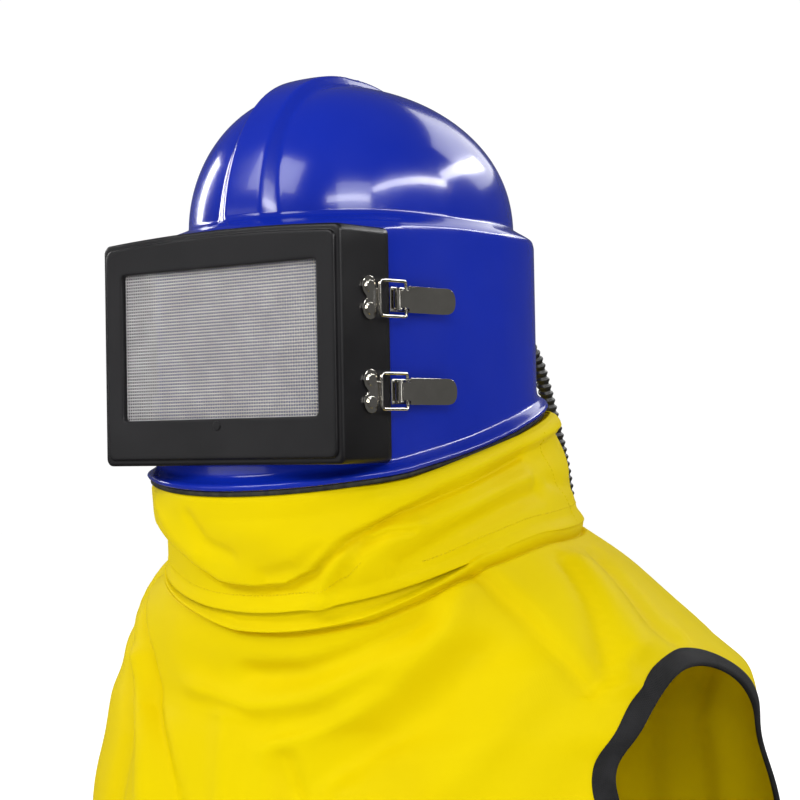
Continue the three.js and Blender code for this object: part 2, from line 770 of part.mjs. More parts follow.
// Rows of the garment below the neck, from the neck to the hem. wide, front and back are shares of
// the cape's reaches, aside of its shift to one side, and side, fore and aft are how far that row
// has dropped there, as shares of the cape's length.
const capeRows = [
  { at: 0, wide: 0.535, front: 1.05, back: 0.786, aside: 0, side: 0, fore: 0.14, aft: -0.035 },
  { at: 0.1, wide: 0.6, front: 0.99, back: 0.82, aside: -0.2, side: 0.03, fore: 0.172, aft: -0.014 },
  { at: 0.2, wide: 0.687, front: 0.95, back: 0.87, aside: -0.1, side: 0.085, fore: 0.216, aft: 0.03 },
  { at: 0.3, wide: 0.764, front: 0.89, back: 0.92, aside: 0.05, side: 0.145, fore: 0.265, aft: 0.09 },
  { at: 0.4, wide: 0.831, front: 0.84, back: 0.97, aside: 0.4, side: 0.21, fore: 0.315, aft: 0.153 },
  { at: 0.5, wide: 0.884, front: 0.82, back: 1, aside: 0.9, side: 0.27, fore: 0.365, aft: 0.222 },
  { at: 0.6, wide: 0.912, front: 0.87, back: 0.985, aside: 1, side: 0.33, fore: 0.413, aft: 0.293 },
  { at: 0.7, wide: 0.925, front: 0.93, back: 0.97, aside: 1, side: 0.415, fore: 0.485, aft: 0.383 },
  { at: 0.8, wide: 0.97, front: 0.97, back: 0.985, aside: 1, side: 0.545, fore: 0.605, aft: 0.526 },
  { at: 0.9, wide: 0.986, front: 0.99, back: 0.99, aside: 1, side: 0.75, fore: 0.78, aft: 0.74 },
  { at: 1, wide: 1, front: 1, back: 1, aside: 1, side: 1, fore: 1, aft: 1 },
];

const capeFolds = [
  { angle: -30, drift: -20, spread: 9, from: 0.08, to: 1, depth: 0.03 },
  { angle: 8, drift: 30, spread: 10, from: 0.12, to: 0.9, depth: 0.025 },
  { angle: 52, drift: -30, spread: 8, from: 0.05, to: 0.8, depth: 0.03 },
  { angle: -70, drift: 10, spread: 12, from: 0.3, to: 1.1, depth: 0.02 },
  { angle: 130, drift: 20, spread: 12, from: 0.1, to: 1.1, depth: 0.02 },
  { angle: 180, drift: 0, spread: 14, from: 0.2, to: 1.1, depth: -0.03 },
  { angle: 228, drift: -20, spread: 12, from: 0.1, to: 1.1, depth: 0.03 },
];

// A ring of the garment at one row: an oval that is turned, shifted, dropped and folded
function capeRing(share, grow) {
  const read = (column) => readTable(capeRows, column, share);
  const front = capeFront * read('front');
  const back = capeBack * read('back');
  const outline = oval(capeHalfWidth * read('wide') + grow, front + grow, back + grow, capeSquareness);
  const centre = (back - front) / 2;
  const turn = capeTurn * clamp(2 * share, 0, 1) * degrees;
  return outline.map((p) => {
    const heading = headingOf(p.x, p.y - centre);
    const ahead = Math.cos(heading * degrees);
    const reach = 1 + foldAt(capeFolds, heading, share);
    const end = ahead > 0 ? read('fore') : read('aft');
    const drop = mix(read('side'), end, Math.abs(ahead) ** 1.5);
    const x = p.x * reach;
    const y = (p.y - centre) * reach;
    return point(
      capeAside * read('aside') + x * Math.cos(turn) - y * Math.sin(turn),
      centre + x * Math.sin(turn) + y * Math.cos(turn),
      neckSide - capeLength * drop,
    );
  });
}

const raised = (ring, height) => ring.map((p) => p.clone().setZ(p.z + height));

// The cape starts with a short stand inside the collar, then spreads over the shoulders
function capeBody(thickness) {
  const steps = 9;
  const outwards = (thickness - clothWall) / 2;
  const rings = [raised(capeRing(0, outwards - neckStand * neckLeanShare), neckStand)];
  for (let k = 0; k <= steps; k += 1) {
    rings.push(capeRing(k / steps, outwards));
  }
  return solid(skin(clothRings(rings, thickness), { loop: true }));
}

// The armholes are round holes through the sides, with tape round them
const armholeMiddle = neckSide - armholeDrop - armholeHalfHeight;
function armhole(side, shrink) {
  const reach = capeHalfWidth;
  const inner = capeHalfWidth * 0.55;
  const shape = new THREE.Shape();
  shape.absellipse(
    armholeBack, armholeMiddle, armholeHalfDepth - shrink, armholeHalfHeight - shrink, 0, 2 * Math.PI,
  );
  return sidePrism(shape, side > 0 ? inner : -inner - reach, reach);
}

const capeWall = capeBody(clothWall);
const cape = capeWall.subtract(armhole(1, -gap)).subtract(armhole(-1, -gap));
add('cape', cape, yellowCloth);
const tape = capeBody(clothWall + tapeProud);
add('armhole_binding_left', tape.intersect(armhole(1, 0)).subtract(armhole(1, bindingWidth)), blackTape);
add('armhole_binding_right', tape.intersect(armhole(-1, 0)).subtract(armhole(-1, bindingWidth)), blackTape);

// The collar runs from the strip under the rim down to the neck of the cape
const collarRows = [
  { at: 0, bulge: 0 },
  { at: 0.12, bulge: 0.3 },
  { at: 0.3, bulge: 0.55 },
  { at: 0.5, bulge: 0.5 },
  { at: 0.75, bulge: 0.25 },
  { at: 1, bulge: 0 },
];
const collarFolds = [
  { angle: 10, drift: 40, spread: 14, from: 0.2, to: 1, depth: 0.04 },
  { angle: 70, drift: -30, spread: 16, from: 0, to: 0.9, depth: 0.04 },
  { angle: -50, drift: 20, spread: 16, from: 0.1, to: 1, depth: -0.03 },
  { angle: 130, drift: 20, spread: 18, from: 0, to: 0.8, depth: 0.03 },
  { angle: 200, drift: 0, spread: 20, from: 0.1, to: 1, depth: 0.03 },
];

function collarBody() {
  const steps = 7;
  const top = offsetOutline(bodyOutline, clothSeat);
  const bottom = raised(capeRing(0, clothWall + gap), neckStand * collarLiftShare);
  const centre = (bottom[0].y + bottom[half.length - 1].y) / 2;
  const rings = [];
  for (let k = 0; k <= steps; k += 1) {
    const share = k / steps;
    const bulge = collarBulge * readTable(collarRows, 'bulge', share);
    rings.push(top.map((p, i) => {
      const from = p.clone().setZ(rimHeight(bodyOutline[i].y) - pipingHeight - 5 * gap);
      const place = from.lerp(bottom[i], share);
      const heading = headingOf(place.x, place.y - centre);
      const flat = point(place.x, place.y - centre);
      const reach = 1 + foldAt(collarFolds, heading, share) + bulge / flat.length();
      return point(flat.x * reach, centre + flat.y * reach, place.z);
    }));
  }
  return solid(skin(clothRings(rings, clothWall), { loop: true }));
}
add('collar', collarBody(), yellowCloth);

// Air hose
// The inlet is a short gland on the back of the shell, tipped downwards
const inletTip = 35 * degrees;
const inletSeat = point(inletAside, bodyBackReach - inletSunk, -inletDrop);
const inletAxis = point(0, Math.cos(inletTip), -Math.sin(inletTip));
const inletTurn = new THREE.Quaternion().setFromUnitVectors(point(0, 1, 0), inletAxis);
const alongInlet = (distance) => inletSeat.clone().addScaledVector(inletAxis, distance);
function inletPart(diameter, from, length) {
  const place = new THREE.Matrix4().compose(alongInlet(from + length / 2), inletTurn, point(1, 1, 1));
  return solid(new THREE.CylinderGeometry(diameter / 2, diameter / 2, length, 16), place);
}
const inletBlank = inletPart(inletDiameter * inletFlangeShare, -inletLength, inletLength + inletSunk).add(
  inletPart(inletDiameter, 0, inletLength),
);
add('hose_inlet', inletBlank.subtract(bodyBlock(gap, belowAll)), blackRubber);

// The hose's route below its inlet, down behind the cape: its distance aside as a share of the
// inlet's, how far behind as a share of its reach, and how far down as a share of its drop
const hoseRows = [
  { aside: 1, back: 0.7925, down: 0.2841 },
  { aside: 1, back: 0.8491, down: 0.3217 },
  { aside: 1, back: 0.8943, down: 0.3594 },
  { aside: 1, back: 0.9321, down: 0.3942 },
  { aside: 1, back: 0.966, down: 0.4348 },
  { aside: 1, back: 0.9887, down: 0.4855 },
  { aside: 1, back: 1, down: 0.558 },
  { aside: 0.9333, back: 1, down: 0.6377 },
  { aside: 0.8667, back: 0.9962, down: 0.7101 },
  { aside: 0.8, back: 0.9925, down: 0.7826 },
  { aside: 0.7556, back: 0.9887, down: 0.8551 },
  { aside: 0.7333, back: 0.9887, down: 0.9275 },
  { aside: 0.7333, back: 0.9887, down: 1 },
];
const hoseStart = alongInlet(inletLength + gap);
const hoseRoute = [
  hoseStart,
  alongInlet(inletLength + inletStraight),
  ...hoseRows.map((row) => point(inletAside * row.aside, hoseReach * row.back, -hoseDrop * row.down)),
];
const hoseCurve = new THREE.CatmullRomCurve3(hoseRoute, false, 'centripetal');
add('hose', tube(hoseCurve, hoseDiameter, 8, 40), blackRubber);

const hoseEnd = hoseRoute[hoseRoute.length - 1];
const couplingTop = hoseEnd.z - gap;
const nutLength = couplingLength * nutShare;
const couplingPart = (diameter, length, sides) => (
  upright(diameter / 2, length, hoseEnd.x, hoseEnd.y, couplingTop - length / 2, sides)
);
const nut = couplingPart(couplingDiameter, nutLength, 6);
const spigot = couplingPart(couplingDiameter * spigotShare, couplingLength, 12);
add('hose_coupling', nut.add(spigot), brightSteel);

export default model;
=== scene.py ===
"""Dresses the hood: smooth mouldings, woven screen, latches, folded cloth, tape and a ribbed hose."""

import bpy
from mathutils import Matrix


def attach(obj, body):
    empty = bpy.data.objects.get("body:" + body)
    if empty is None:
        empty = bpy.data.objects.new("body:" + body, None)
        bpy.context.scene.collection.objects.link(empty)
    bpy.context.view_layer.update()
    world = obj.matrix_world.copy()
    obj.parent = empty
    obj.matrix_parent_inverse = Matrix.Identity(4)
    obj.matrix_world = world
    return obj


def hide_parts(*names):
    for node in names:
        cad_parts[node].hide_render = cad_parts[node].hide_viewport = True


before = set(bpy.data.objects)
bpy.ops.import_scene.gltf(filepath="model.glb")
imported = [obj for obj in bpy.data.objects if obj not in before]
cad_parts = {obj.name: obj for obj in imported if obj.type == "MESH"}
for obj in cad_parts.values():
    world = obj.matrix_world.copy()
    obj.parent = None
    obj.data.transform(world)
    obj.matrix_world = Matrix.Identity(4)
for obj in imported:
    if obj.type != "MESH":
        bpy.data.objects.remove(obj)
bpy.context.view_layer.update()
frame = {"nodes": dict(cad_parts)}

from math import atan2, cos, pi, radians, sin

import bpy
import numpy as np
from mathutils import Matrix, Vector
from mathutils.bvhtree import BVHTree

bl_info = {
    "name": "Blasting Hood",
    "version": (1, 0, 0),
    "blender": (4, 5, 0),
    "location": "3D View > Sidebar > Hood",
    "description": "Makes the pieces and finishes of a blasting hood around its frame",
    "category": "Object",
}

MM = 0.001
MERGE_DISTANCE = 1e-6
# from how sharp a bend an edge is rounded, kept crisp, or shown as one, in degrees
EDGE_ANGLE, CRISP_ANGLE, SHOWN_ANGLE = 35, 16, 50


# Sizes and colours that a user would change

class HoodSizes(bpy.types.PropertyGroup):
    wire_pitch: bpy.props.FloatProperty(
        name="Wire pitch", description="Distance from one wire of the screen to the next",
        default=2.2 * MM, subtype="DISTANCE", unit="LENGTH")
    wire_thickness: bpy.props.FloatProperty(
        name="Wire thickness", description="Thickness of the screen's wires",
        default=0.88 * MM, subtype="DISTANCE", unit="LENGTH")
    rib_pitch: bpy.props.FloatProperty(
        name="Rib pitch", description="Distance from one rib of the hose to the next",
        default=6.4 * MM, subtype="DISTANCE", unit="LENGTH")
    rib_height: bpy.props.FloatProperty(
        name="Rib height", description="How far a rib of the hose stands out",
        default=1.7 * MM, subtype="DISTANCE", unit="LENGTH")
    cloth_thickness: bpy.props.FloatProperty(
        name="Cloth thickness", description="Thickness of the coated cloth",
        default=1.4 * MM, subtype="DISTANCE", unit="LENGTH")
    tape_thickness: bpy.props.FloatProperty(
        name="Tape thickness", description="How far the tape stands off the cloth",
        default=1.2 * MM, subtype="DISTANCE", unit="LENGTH")
    edge_round: bpy.props.FloatProperty(
        name="Edge round", description="Round on the edges of the steel fittings",
        default=0.4 * MM, subtype="DISTANCE", unit="LENGTH")


class HoodColours(bpy.types.PropertyGroup):
    shell: bpy.props.FloatVectorProperty(
        name="Shell", description="Colour of the shell", subtype="COLOR", size=3,
        default=(0.0035, 0.019, 0.35), min=0, max=1)
    cloth: bpy.props.FloatVectorProperty(
        name="Cloth", description="Colour of the coated cloth", subtype="COLOR", size=3,
        default=(0.80, 0.63, 0.0), min=0, max=1)
    frame: bpy.props.FloatVectorProperty(
        name="Window box", description="Colour of the window box", subtype="COLOR", size=3,
        default=(0.006, 0.0056, 0.0066), min=0, max=1)
    tape: bpy.props.FloatVectorProperty(
        name="Tape", description="Colour of the tape round the armholes", subtype="COLOR", size=3,
        default=(0.008, 0.008, 0.009), min=0, max=1)
    steel: bpy.props.FloatVectorProperty(
        name="Fittings", description="Colour of the plated fittings", subtype="COLOR", size=3,
        default=(0.72, 0.69, 0.63), min=0, max=1)


# Sums on numbers and outlines, in millimetres

def smooth(low, high, value):
    share = np.clip((np.asarray(value, float) - low) / (high - low), 0, 1)
    return share * share * (3 - 2 * share)


def curved(t, start, end, span, slope_from, slope_to):
    """A smooth curve from start to end, with its slope given at both."""
    return ((2 * t ** 3 - 3 * t ** 2 + 1) * start + (t ** 3 - 2 * t ** 2 + t) * span * slope_from
            + (3 * t ** 2 - 2 * t ** 3) * end + (t ** 3 - t ** 2) * span * slope_to)


def read(rows, column, share):
    """A smooth curve through the rows of a table, as the frame's own tables are read."""
    at = np.array([row[0] for row in rows], float)
    values = np.array([row[column] for row in rows], float)
    share = np.asarray(share, float)
    last = len(at) - 1
    k = np.clip(np.searchsorted(at, share, side="left") - 1, 0, last - 1)
    before = np.maximum(k - 1, 0)
    after = np.minimum(k + 2, last)
    span = at[k + 1] - at[k]
    slope_from = (values[k + 1] - values[before]) / (at[k + 1] - at[before])
    slope_to = (values[after] - values[k]) / (at[after] - at[k])
    return curved((share - at[k]) / span, values[k], values[k + 1], span, slope_from, slope_to)


# the dome and its crest
DOME_TOP, DOME_BASE, DOME_BACK, CROWN_LEAN = 3, -107, 24, 17
DOME_HALF_WIDTH, DOME_HALF_LENGTH, DOME_SQUARENESS, DOME_ROUNDNESS = 113, 123, 2.4, 2.12
CREST_HEIGHT, CREST_TOP_HALF, CREST_FOOT_HALF, CREST_FILLET = 7, 14, 21, 10
# the shell's body, shoulder, rim and sight hole
BODY_HALF_WIDTH, BODY_BACK, BODY_FLAT, BODY_SQUARENESS = 123, 152, 44, 2.6
FRONT_REACH, CORNER_HALF, CORNER_REACH, CORNER_TRIM = 123, 110, 79, 13
SHOULDER_DROP, SHOULDER_BASE, RIM_FRONT, RIM_RISE = 12, -119, -297, 70
LIP_REACH, LIP_HEIGHT, SHELL_WALL = 8.5, 15, 3
CLOTH_SEAT = LIP_REACH * 0.66
HOLE_HALF, HOLE_TOP, HOLE_BOTTOM = 95.5, -135.5, -252.5
# the window box, its opening and its latches
FRAME_FRONT, FRAME_BACK, FRAME_TOP, FRAME_BOTTOM = -135, -84, -119, -279
FRAME_HALF, FRAME_TAPER, FRAME_ARCH, FACE_BACK = 109.5, 3.4, 4, -131
OPENING_HALF, OPENING_TOP, OPENING_BOTTOM = 89.5, -141.5, -246.5
MARK_PLACE, MARK_RADIUS, MARK_DEPTH, MARK_ROUND = (0, FRAME_FRONT, -251.5), 3.4, 1.2, 0.35
LATCH_ORIGIN, LATCH_TURN = (110.2102, -77.0111), -6.0247
LATCH_LEVELS = (("upper", -167.5), ("lower", -230.5))
# the cape, its armholes and their tape
NECK_SIDE = RIM_FRONT - 38
CAPE_HALF_WIDTH, CAPE_FRONT, CAPE_BACK, CAPE_LENGTH = 284, 94, 243, 365
CAPE_ASIDE, CAPE_TURN, CAPE_SQUARENESS = 20, 8, 2.3
ARMHOLE_BACK, ARMHOLE_MIDDLE, ARMHOLE_HALF_DEPTH, ARMHOLE_HALF_HEIGHT = 76, -519, 93, 105
ARMHOLE_STEPS, TAPE_WIDTH = 220, 16

FRONT_RADIUS = (CORNER_HALF ** 2 + (FRONT_REACH - CORNER_REACH) ** 2) / (2 * (FRONT_REACH - CORNER_REACH))
# how far the closest points of the outline reach, and how many points each stretch of it has
CREST_ROOM, CREST_STEPS, HOLE_STEPS, EDGE_STEPS = 45, 19, 11, 4
BEND_STEPS, SIDE_STEPS, TURN_STEPS, BACK_STEPS = 12, 32, 26, 25


def half_outline():
    """Half of the shell's plan outline, from its front to its back."""
    arc_end = np.arcsin(CORNER_HALF / FRONT_RADIUS) - CORNER_TRIM / FRONT_RADIUS
    hole_end = np.arcsin(HOLE_HALF / FRONT_RADIUS)
    crest_end = np.arcsin(CREST_ROOM / FRONT_RADIUS)
    arc = np.concatenate([np.linspace(0, crest_end, CREST_STEPS),
                          np.linspace(crest_end, hole_end, HOLE_STEPS)[1:],
                          np.linspace(hole_end, arc_end, EDGE_STEPS)[1:]])
    front = np.stack([FRONT_RADIUS * np.sin(arc), FRONT_RADIUS * (1 - np.cos(arc)) - FRONT_REACH], 1)
    corner = np.array([CORNER_HALF, -CORNER_REACH], float)
    side_end = np.array([BODY_HALF_WIDTH, BODY_FLAT], float)
    direction = (side_end - corner) / np.linalg.norm(side_end - corner)
    bend_to = corner + direction * CORNER_TRIM
    t = np.linspace(0, 1, BEND_STEPS)[1:-1, None]
    bend = (1 - t) ** 2 * front[-1] + 2 * t * (1 - t) * corner + t * t * bend_to
    t = (np.arange(SIDE_STEPS) / SIDE_STEPS)[:, None]
    side = bend_to * (1 - t) + side_end * t
    power = 2 / BODY_SQUARENESS
    turning = np.linspace(0, pi / 3, TURN_STEPS)
    across = np.linspace(cos(pi / 3) ** power, 0, BACK_STEPS)[1:]
    angle = np.concatenate([turning, np.arccos(across ** (1 / power))])
    back = np.stack([BODY_HALF_WIDTH * np.abs(np.cos(angle)) ** power,
                     BODY_FLAT + (BODY_BACK - BODY_FLAT) * np.sin(angle) ** power], 1)
    return np.concatenate([front, bend, side, back])


HALF = half_outline()
BODY = np.concatenate([HALF, HALF[1:-1][::-1] * [-1, 1]])
ANGLE = np.arctan2(BODY[:, 1] - DOME_BACK, BODY[:, 0])
BACK_INDEX = len(HALF) - 1


def offset(outline, distance):
    tangent = np.roll(outline, -1, 0) - np.roll(outline, 1, 0)
    tangent /= np.linalg.norm(tangent, axis=1, keepdims=True)
    return outline + np.stack([tangent[:, 1], -tangent[:, 0]], 1) * distance


def oval(half_width, front, back, squareness):
    centre, half_length = (back - front) / 2, (back + front) / 2
    reach = (np.abs(np.cos(ANGLE) / half_width) ** squareness
             + np.abs(np.sin(ANGLE) / half_length) ** squareness) ** (-1 / squareness)
    return np.stack([reach * np.cos(ANGLE), centre + reach * np.sin(ANGLE)], 1)


def at_height(outline, z):
    heights = np.broadcast_to(np.asarray(z, float).reshape(-1, 1), (len(outline), 1))
    return np.concatenate([outline, heights], 1)


RIM_ROWS = ((0, 0), (0.15, 0.13), (0.46, 0.37), (0.75, 0.7), (1, 0.95))
FROM_FRONT = np.clip((BODY[:, 1] + FRONT_REACH) / (FRONT_REACH + BODY_BACK), 0, 1)
RIM = RIM_FRONT + RIM_RISE * read(RIM_ROWS, 1, FROM_FRONT)


# Making and shaping a mesh

def deselect():
    if bpy.context.object is not None and bpy.context.object.mode != "OBJECT":
        bpy.ops.object.mode_set(mode="OBJECT")
    bpy.ops.object.select_all(action="DESELECT")


def choose(piece):
    deselect()
    piece.select_set(True)
    bpy.context.view_layer.objects.active = piece
    return piece


def apply_all(piece):
    choose(piece)
    for modifier in list(piece.modifiers):
        bpy.ops.object.modifier_apply(modifier=modifier.name)
    return piece


def edit(piece, *steps):
    """Runs edit-mode steps on the whole of a piece."""
    choose(piece)
    bpy.ops.object.mode_set(mode="EDIT")
    bpy.ops.mesh.select_mode(type="VERT")
    bpy.ops.mesh.select_all(action="SELECT")
    for step in steps:
        step()
    bpy.ops.object.mode_set(mode="OBJECT")
    return piece


def merge_doubles():
    bpy.ops.mesh.remove_doubles(threshold=MERGE_DISTANCE)


def face_outwards():
    bpy.ops.mesh.normals_make_consistent(inside=False)


def deselect_points(piece):
    edit(piece, lambda: bpy.ops.mesh.select_all(action="DESELECT"))


def smooth_all(piece):
    choose(piece)
    bpy.ops.object.shade_smooth()
    return piece


def smooth_to(piece, angle):
    choose(piece)
    bpy.ops.object.shade_smooth_by_angle(angle=radians(angle))
    return piece


def rounded_edges(piece, width, segments, angle=None):
    """Rounds a piece's edges, or those that bend by more than an angle."""
    bevel = piece.modifiers.new("edge", "BEVEL")
    bevel.width = width
    bevel.segments = segments
    if angle is not None:
        bevel.limit_method = "ANGLE"
        bevel.angle_limit = radians(angle)
    return apply_all(piece)


def cut_faces(piece, inside):
    """Deletes the faces whose middles lie inside."""
    deselect_points(piece)
    bpy.context.tool_settings.mesh_select_mode = (False, False, True)
    piece.data.polygons.foreach_set("select", [bool(inside(face.center)) for face in piece.data.polygons])
    bpy.ops.object.mode_set(mode="EDIT")
    bpy.ops.mesh.delete(type="FACE")
    bpy.ops.object.mode_set(mode="OBJECT")
    bpy.context.tool_settings.mesh_select_mode = (True, False, False)


def thicken(piece, wall):
    solid = piece.modifiers.new("wall", "SOLIDIFY")
    solid.thickness = wall
    solid.offset = -1
    solid.use_even_offset = False
    return apply_all(piece)


def signed_volume(piece):
    """Six times a closed piece's volume, less than nothing where it is inside out."""
    mesh = piece.data
    mesh.calc_loop_triangles()
    corners = np.zeros(len(mesh.loop_triangles) * 3, np.int32)
    mesh.loop_triangles.foreach_get("vertices", corners)
    places = np.zeros(len(mesh.vertices) * 3)
    mesh.vertices.foreach_get("co", places)
    a, b, c = places.reshape(-1, 3)[corners.reshape(-1, 3)].transpose(1, 0, 2)
    return float(np.einsum("ij,ij->i", a, np.cross(b, c)).sum())


def from_rings(name, rings, closed=False, centre=None):
    """A grid wrapped over rings of points in millimetres; closed joins the last ring to the first.

    Its flat map holds the cloth's own lengths. Without a closed surface, centre tells which way is out.
    """
    rings = np.asarray(rings, float) * MM
    rows, columns = rings.shape[:2]
    spans = rows if closed else rows - 1
    deselect()
    bpy.ops.mesh.primitive_grid_add(x_subdivisions=columns, y_subdivisions=spans, size=1)
    piece = bpy.context.object
    piece.name = name
    piece.data.name = name
    mesh = piece.data
    if len(mesh.vertices) != (columns + 1) * (spans + 1):
        raise RuntimeError(f"{name}: the grid has {len(mesh.vertices)} points")
    places = np.zeros(len(mesh.vertices) * 3)
    mesh.vertices.foreach_get("co", places)
    places = places.reshape(-1, 3)
    i = np.rint((places[:, 0] + 0.5) * columns).astype(int)
    k = np.rint((places[:, 1] + 0.5) * spans).astype(int)
    moved = rings[k % rows, i % columns]
    around = np.linalg.norm(np.roll(rings, -1, 1) - rings, axis=2).mean(0)
    along = np.concatenate([[0], np.cumsum(around)])
    steps = np.linalg.norm(np.roll(rings, -1, 0) - rings, axis=2).mean(1)
    down = np.concatenate([[0], np.cumsum(steps)])
    corners = np.zeros(len(mesh.loops), np.int32)
    mesh.loops.foreach_get("vertex_index", corners)
    flat = np.stack([along[i[corners]], down[k[corners]]], 1)
    mesh.uv_layers[0].data.foreach_set("uv", flat.astype(np.float32).ravel())
    mesh.vertices.foreach_set("co", moved.ravel())
    mesh.update()
    edit(piece, merge_doubles)
    if closed or centre is None:
        inside_out = signed_volume(piece) < 0
    else:
        middle = Vector(centre) * MM
        faces = piece.data.polygons
        inside_out = sum((face.center - middle).dot(face.normal) * face.area for face in faces) < 0
    if inside_out:
        edit(piece, bpy.ops.mesh.flip_normals)
    return smooth_all(piece)


def from_faces(name, points, faces):
    """A piece from points in millimetres and the faces between them."""
    mesh = bpy.data.meshes.new(name)
    mesh.from_pydata([tuple(point * MM) for point in points], [], faces)
    mesh.update()
    piece = bpy.data.objects.new(name, mesh)
    bpy.context.scene.collection.objects.link(piece)
    edit(piece, face_outwards)
    return smooth_all(piece)


def copy_of(node_name, name, edge, angle=EDGE_ANGLE):
    """A merged copy of a frame node with its edges rounded."""
    piece = bpy.data.objects.new(name, frame["nodes"][node_name].data.copy())
    piece.data.name = name
    piece.data.materials.clear()
    bpy.context.scene.collection.objects.link(piece)
    edit(piece, lambda: bpy.ops.mesh.remove_doubles(threshold=2 * MERGE_DISTANCE),
         lambda: bpy.ops.mesh.dissolve_limited(angle_limit=radians(2)))
    if edge:
        rounded_edges(piece, edge, 2, angle)
    return smooth_to(piece, angle)


def carried(piece, body, slot, material, *nodes):
    """Gives a piece its finish and its body, and hides the frame nodes it stands for."""
    piece.data.materials.clear()
    piece.data.materials.append(material)
    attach(piece, body)
    if nodes:
        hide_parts(*nodes)
    return piece


# Shared effects

def effect(name, inputs, outputs):
    """A shader node group with named inputs and outputs, and its two end nodes."""
    tree = bpy.data.node_groups.new(name, "ShaderNodeTree")
    for label, kind, default in inputs:
        socket = tree.interface.new_socket(name=label, in_out="INPUT", socket_type=kind)
        if default is not None:
            socket.default_value = default
    for label, kind in outputs:
        tree.interface.new_socket(name=label, in_out="OUTPUT", socket_type=kind)
    return tree, tree.nodes.new("NodeGroupInput"), tree.nodes.new("NodeGroupOutput")


def node(tree, kind, **settings):
    made = tree.nodes.new(kind)
    for key, value in settings.items():
        setattr(made, key, value)
    return made


def mottle_effect():
    """Two colours mixed by soft blotches, and the blotches as a mask."""
    tree, start, end = effect(
        "Mottle",
        [("Vector", "NodeSocketVector", None), ("Colour A", "NodeSocketColor", None),
         ("Colour B", "NodeSocketColor", None), ("Scale", "NodeSocketFloat", 8.0),
         ("Low", "NodeSocketFloat", 0.35), ("High", "NodeSocketFloat", 0.65)],
        [("Colour", "NodeSocketColor"), ("Mask", "NodeSocketFloat")])
    noise = node(tree, "ShaderNodeTexNoise")
    noise.inputs["Detail"].default_value = 4
    span = node(tree, "ShaderNodeMapRange")
    mix = node(tree, "ShaderNodeMix", data_type="RGBA")
    link = tree.links.new
    link(start.outputs["Vector"], noise.inputs["Vector"])
    link(start.outputs["Scale"], noise.inputs["Scale"])
    link(noise.outputs["Fac"], span.inputs["Value"])
    link(start.outputs["Low"], span.inputs["From Min"])
    link(start.outputs["High"], span.inputs["From Max"])
    link(span.outputs["Result"], mix.inputs["Factor"])
    link(start.outputs["Colour A"], mix.inputs["A"])
    link(start.outputs["Colour B"], mix.inputs["B"])
    link(mix.outputs["Result"], end.inputs["Colour"])
    link(span.outputs["Result"], end.inputs["Mask"])
    return tree


def grain_effect():
    """Fine grain as a height, and a roughness between two values."""
    tree, start, end = effect(
        "Grain",
        [("Vector", "NodeSocketVector", None), ("Scale", "NodeSocketFloat", 900.0),
         ("Smooth", "NodeSocketFloat", 0.3), ("Rough", "NodeSocketFloat", 0.5)],
        [("Height", "NodeSocketFloat"), ("Roughness", "NodeSocketFloat")])
    fine = node(tree, "ShaderNodeTexNoise")
    fine.inputs["Detail"].default_value = 2
    broad = node(tree, "ShaderNodeTexNoise")
    broad.inputs["Scale"].default_value = 22
    broad.inputs["Detail"].default_value = 5
    span = node(tree, "ShaderNodeMapRange")
    span.inputs["From Min"].default_value = 0.3
    span.inputs["From Max"].default_value = 0.7
    link = tree.links.new
    link(start.outputs["Vector"], fine.inputs["Vector"])
    link(start.outputs["Vector"], broad.inputs["Vector"])
    link(start.outputs["Scale"], fine.inputs["Scale"])
    link(broad.outputs["Fac"], span.inputs["Value"])
    link(start.outputs["Smooth"], span.inputs["To Min"])
    link(start.outputs["Rough"], span.inputs["To Max"])
    link(fine.outputs["Fac"], end.inputs["Height"])
    link(span.outputs["Result"], end.inputs["Roughness"])
    return tree


def weave_effect():
    """Plain weave on a piece's own flat map, as a height."""
    tree, start, end = effect(
        "Weave",
        [("Vector", "NodeSocketVector", None), ("Across", "NodeSocketFloat", 1200.0),
         ("Down", "NodeSocketFloat", 1200.0)],
        [("Height", "NodeSocketFloat")])
    link = tree.links.new
    split = node(tree, "ShaderNodeSeparateXYZ")
    link(start.outputs["Vector"], split.inputs["Vector"])
    waves = []
    for axis, count in (("X", "Across"), ("Y", "Down")):
        turns = node(tree, "ShaderNodeMath", operation="MULTIPLY")
        link(split.outputs[axis], turns.inputs[0])
        link(start.outputs[count], turns.inputs[1])
        angle = node(tree, "ShaderNodeMath", operation="MULTIPLY")
        angle.inputs[1].default_value = 2 * pi
        link(turns.outputs[0], angle.inputs[0])
        wave = node(tree, "ShaderNodeMath", operation="SINE")
        link(angle.outputs[0], wave.inputs[0])
        waves.append(wave)
    product = node(tree, "ShaderNodeMath", operation="MULTIPLY")
    link(waves[0].outputs[0], product.inputs[0])
    link(waves[1].outputs[0], product.inputs[1])
    height = node(tree, "ShaderNodeMath", operation="MULTIPLY_ADD")
    height.inputs[1].default_value = 0.5
    height.inputs[2].default_value = 0.5
    link(product.outputs[0], height.inputs[0])
    link(height.outputs[0], end.inputs["Height"])
    return tree


# Finishes

